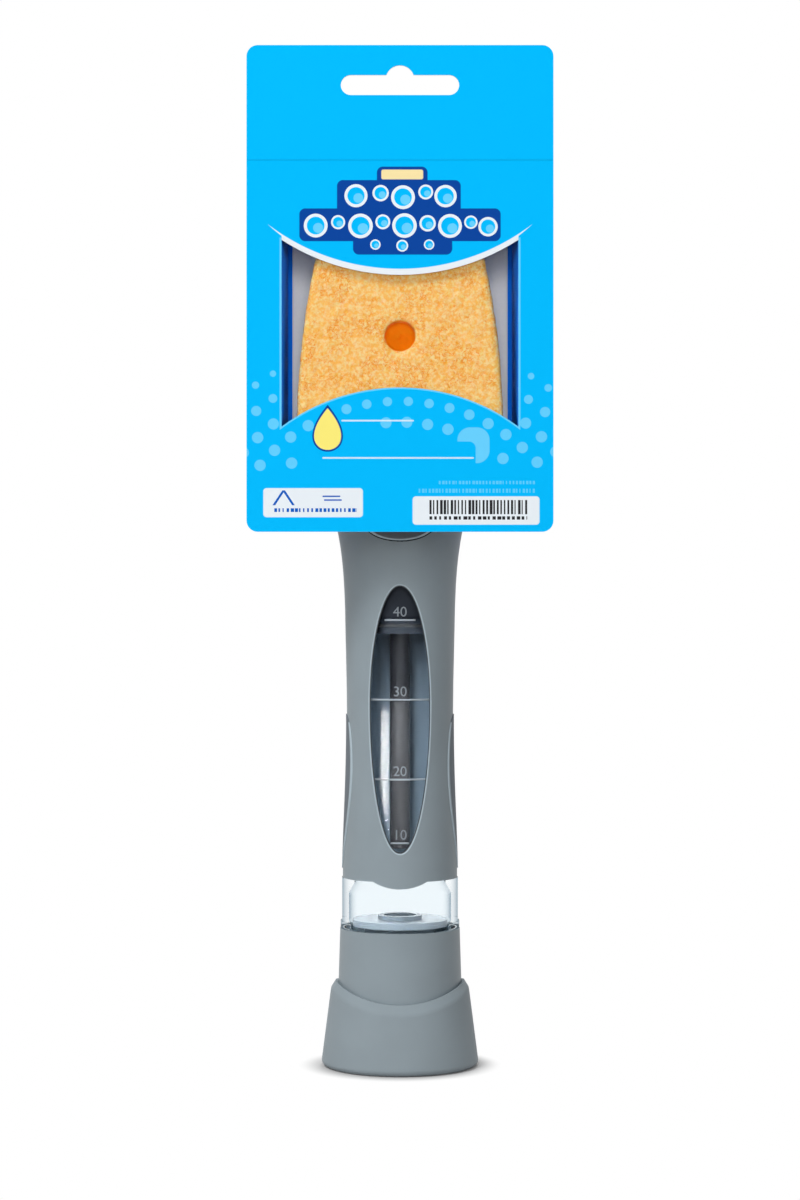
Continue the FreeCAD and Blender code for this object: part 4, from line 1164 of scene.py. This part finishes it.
class WAND_OT_set_stage(bpy.types.Operator):
    """Pale floor, white all round, soft lamps and the camera"""
    bl_idname = "wand.set_stage"
    bl_label = "Stage"

    def execute(self, context):
        self.lay_floor(context)
        self.light_world(context)
        middle = (0.0, 0.0, (CAD_LOW[2] + CAD_HIGH[2]) / 2)
        lamps = {lamp[0]: soft_lamp(*lamp, middle) for lamp in LAMPS}
        head = [NODES[name] for name in ("display_card", "card_tray", "carrier_plate")]
        head.append(bpy.data.objects["sponge_foam"])
        aim_at(lamps["front_lamp"], head)
        aim_at(lamps["side_lamp"], head, "EXCLUDE")
        aim_at(soft_lamp(*WINDOW_LAMP, WINDOW_SPOT, mirrored=True), [NODES["reservoir"]])
        inside = (0.0, 0.0, box_mm("sponge")[0].z * MILLIMETRE)
        for lamp in TRAY_LAMPS:
            aim_at(soft_lamp(*lamp, inside), [NODES["card_tray"]])
        self.place_camera(context)
        context.scene.view_settings.view_transform = "Standard"
        return {"FINISHED"}

    def lay_floor(self, context):
        """A wide floor that looks white and keeps the foot's shadow."""
        mesh = bpy.data.meshes.new("floor")
        shape = bmesh.new()
        bmesh.ops.create_grid(shape, x_segments=1, y_segments=1, size=FLOOR_HALF)
        shape.to_mesh(mesh)
        shape.free()
        floor = bpy.data.objects.new("floor", mesh)
        floor.location.z = CAD_LOW[2] - FLOOR_GAP * MILLIMETRE
        context.scene.collection.objects.link(floor)
        finish = Finish("floor_white")
        vector, x, y, z = finish.spot()
        far = (x * x + y * y).root().step(*FLOOR_FADE)
        finish.surface(base_color=FLOOR_GREY, roughness=0.9)
        glow = finish.node("ShaderNodeEmission", None, {"Color": WHITE, "Strength": 1.0})
        finish.cover(finish.seen() * (FLOOR_GLOW + (1 - FLOOR_GLOW) * far), glow)
        mesh.materials.append(finish.material)

    def light_world(self, context):
        """White all round for the eye, and gentler as a lamp."""
        world = bpy.data.worlds.new("studio_white")
        context.scene.world = world
        world.use_nodes = True
        nodes = Nodes(world.node_tree)
        lit = nodes.mix(nodes.seen(), WORLD_LIGHT, WHITE)
        back = nodes.node("ShaderNodeBackground", None, {"Color": lit, "Strength": 1.0})
        nodes.node("ShaderNodeOutputWorld", None, {0: back.outputs[0]})

    def place_camera(self, context):
        """Level view along Y, from half way up the handle."""
        sizes = context.scene.wand_sizes
        lens = bpy.data.cameras.new("camera")
        lens.sensor_width = 36.0
        lens.lens = lens.sensor_width * sizes.camera_distance / sizes.view_height
        lens.clip_start = 0.01
        lens.clip_end = 50.0
        camera = bpy.data.objects.new("camera", lens)
        camera.location = (0.0, -sizes.camera_distance, sizes.camera_height)
        camera.rotation_euler = (math.radians(90), 0.0, 0.0)
        context.scene.collection.objects.link(camera)
        context.scene.camera = camera


STEPS = (
    WAND_OT_finish_handle,
    WAND_OT_finish_foot,
    WAND_OT_finish_pump,
    WAND_OT_finish_bottle,
    WAND_OT_make_sponge,
    WAND_OT_print_card,
    WAND_OT_set_stage,
)


class WAND_PT_sidebar(bpy.types.Panel):
    """Lists the wand's making steps in the sidebar"""
    bl_idname = "WAND_PT_sidebar"
    bl_label = "Dish wand"
    bl_space_type = "VIEW_3D"
    bl_region_type = "UI"
    bl_category = "Wand"

    def draw(self, context):
        for step in STEPS:
            self.layout.operator(step.bl_idname)


CLASSES = (WandColours, CardColours, WandSizes, *STEPS, WAND_PT_sidebar)


def register():
    for item in CLASSES:
        bpy.utils.register_class(item)
    bpy.types.Scene.wand_colours = PointerProperty(type=WandColours)
    bpy.types.Scene.card_colours = PointerProperty(type=CardColours)
    bpy.types.Scene.wand_sizes = PointerProperty(type=WandSizes)


def unregister():
    del bpy.types.Scene.wand_sizes
    del bpy.types.Scene.card_colours
    del bpy.types.Scene.wand_colours
    for item in reversed(CLASSES):
        bpy.utils.unregister_class(item)


def main():
    """Runs every step in order."""
    register()
    for step in STEPS:
        group, name = step.bl_idname.split(".")
        getattr(getattr(bpy.ops, group), name)()


if __name__ == "__main__":
    main()
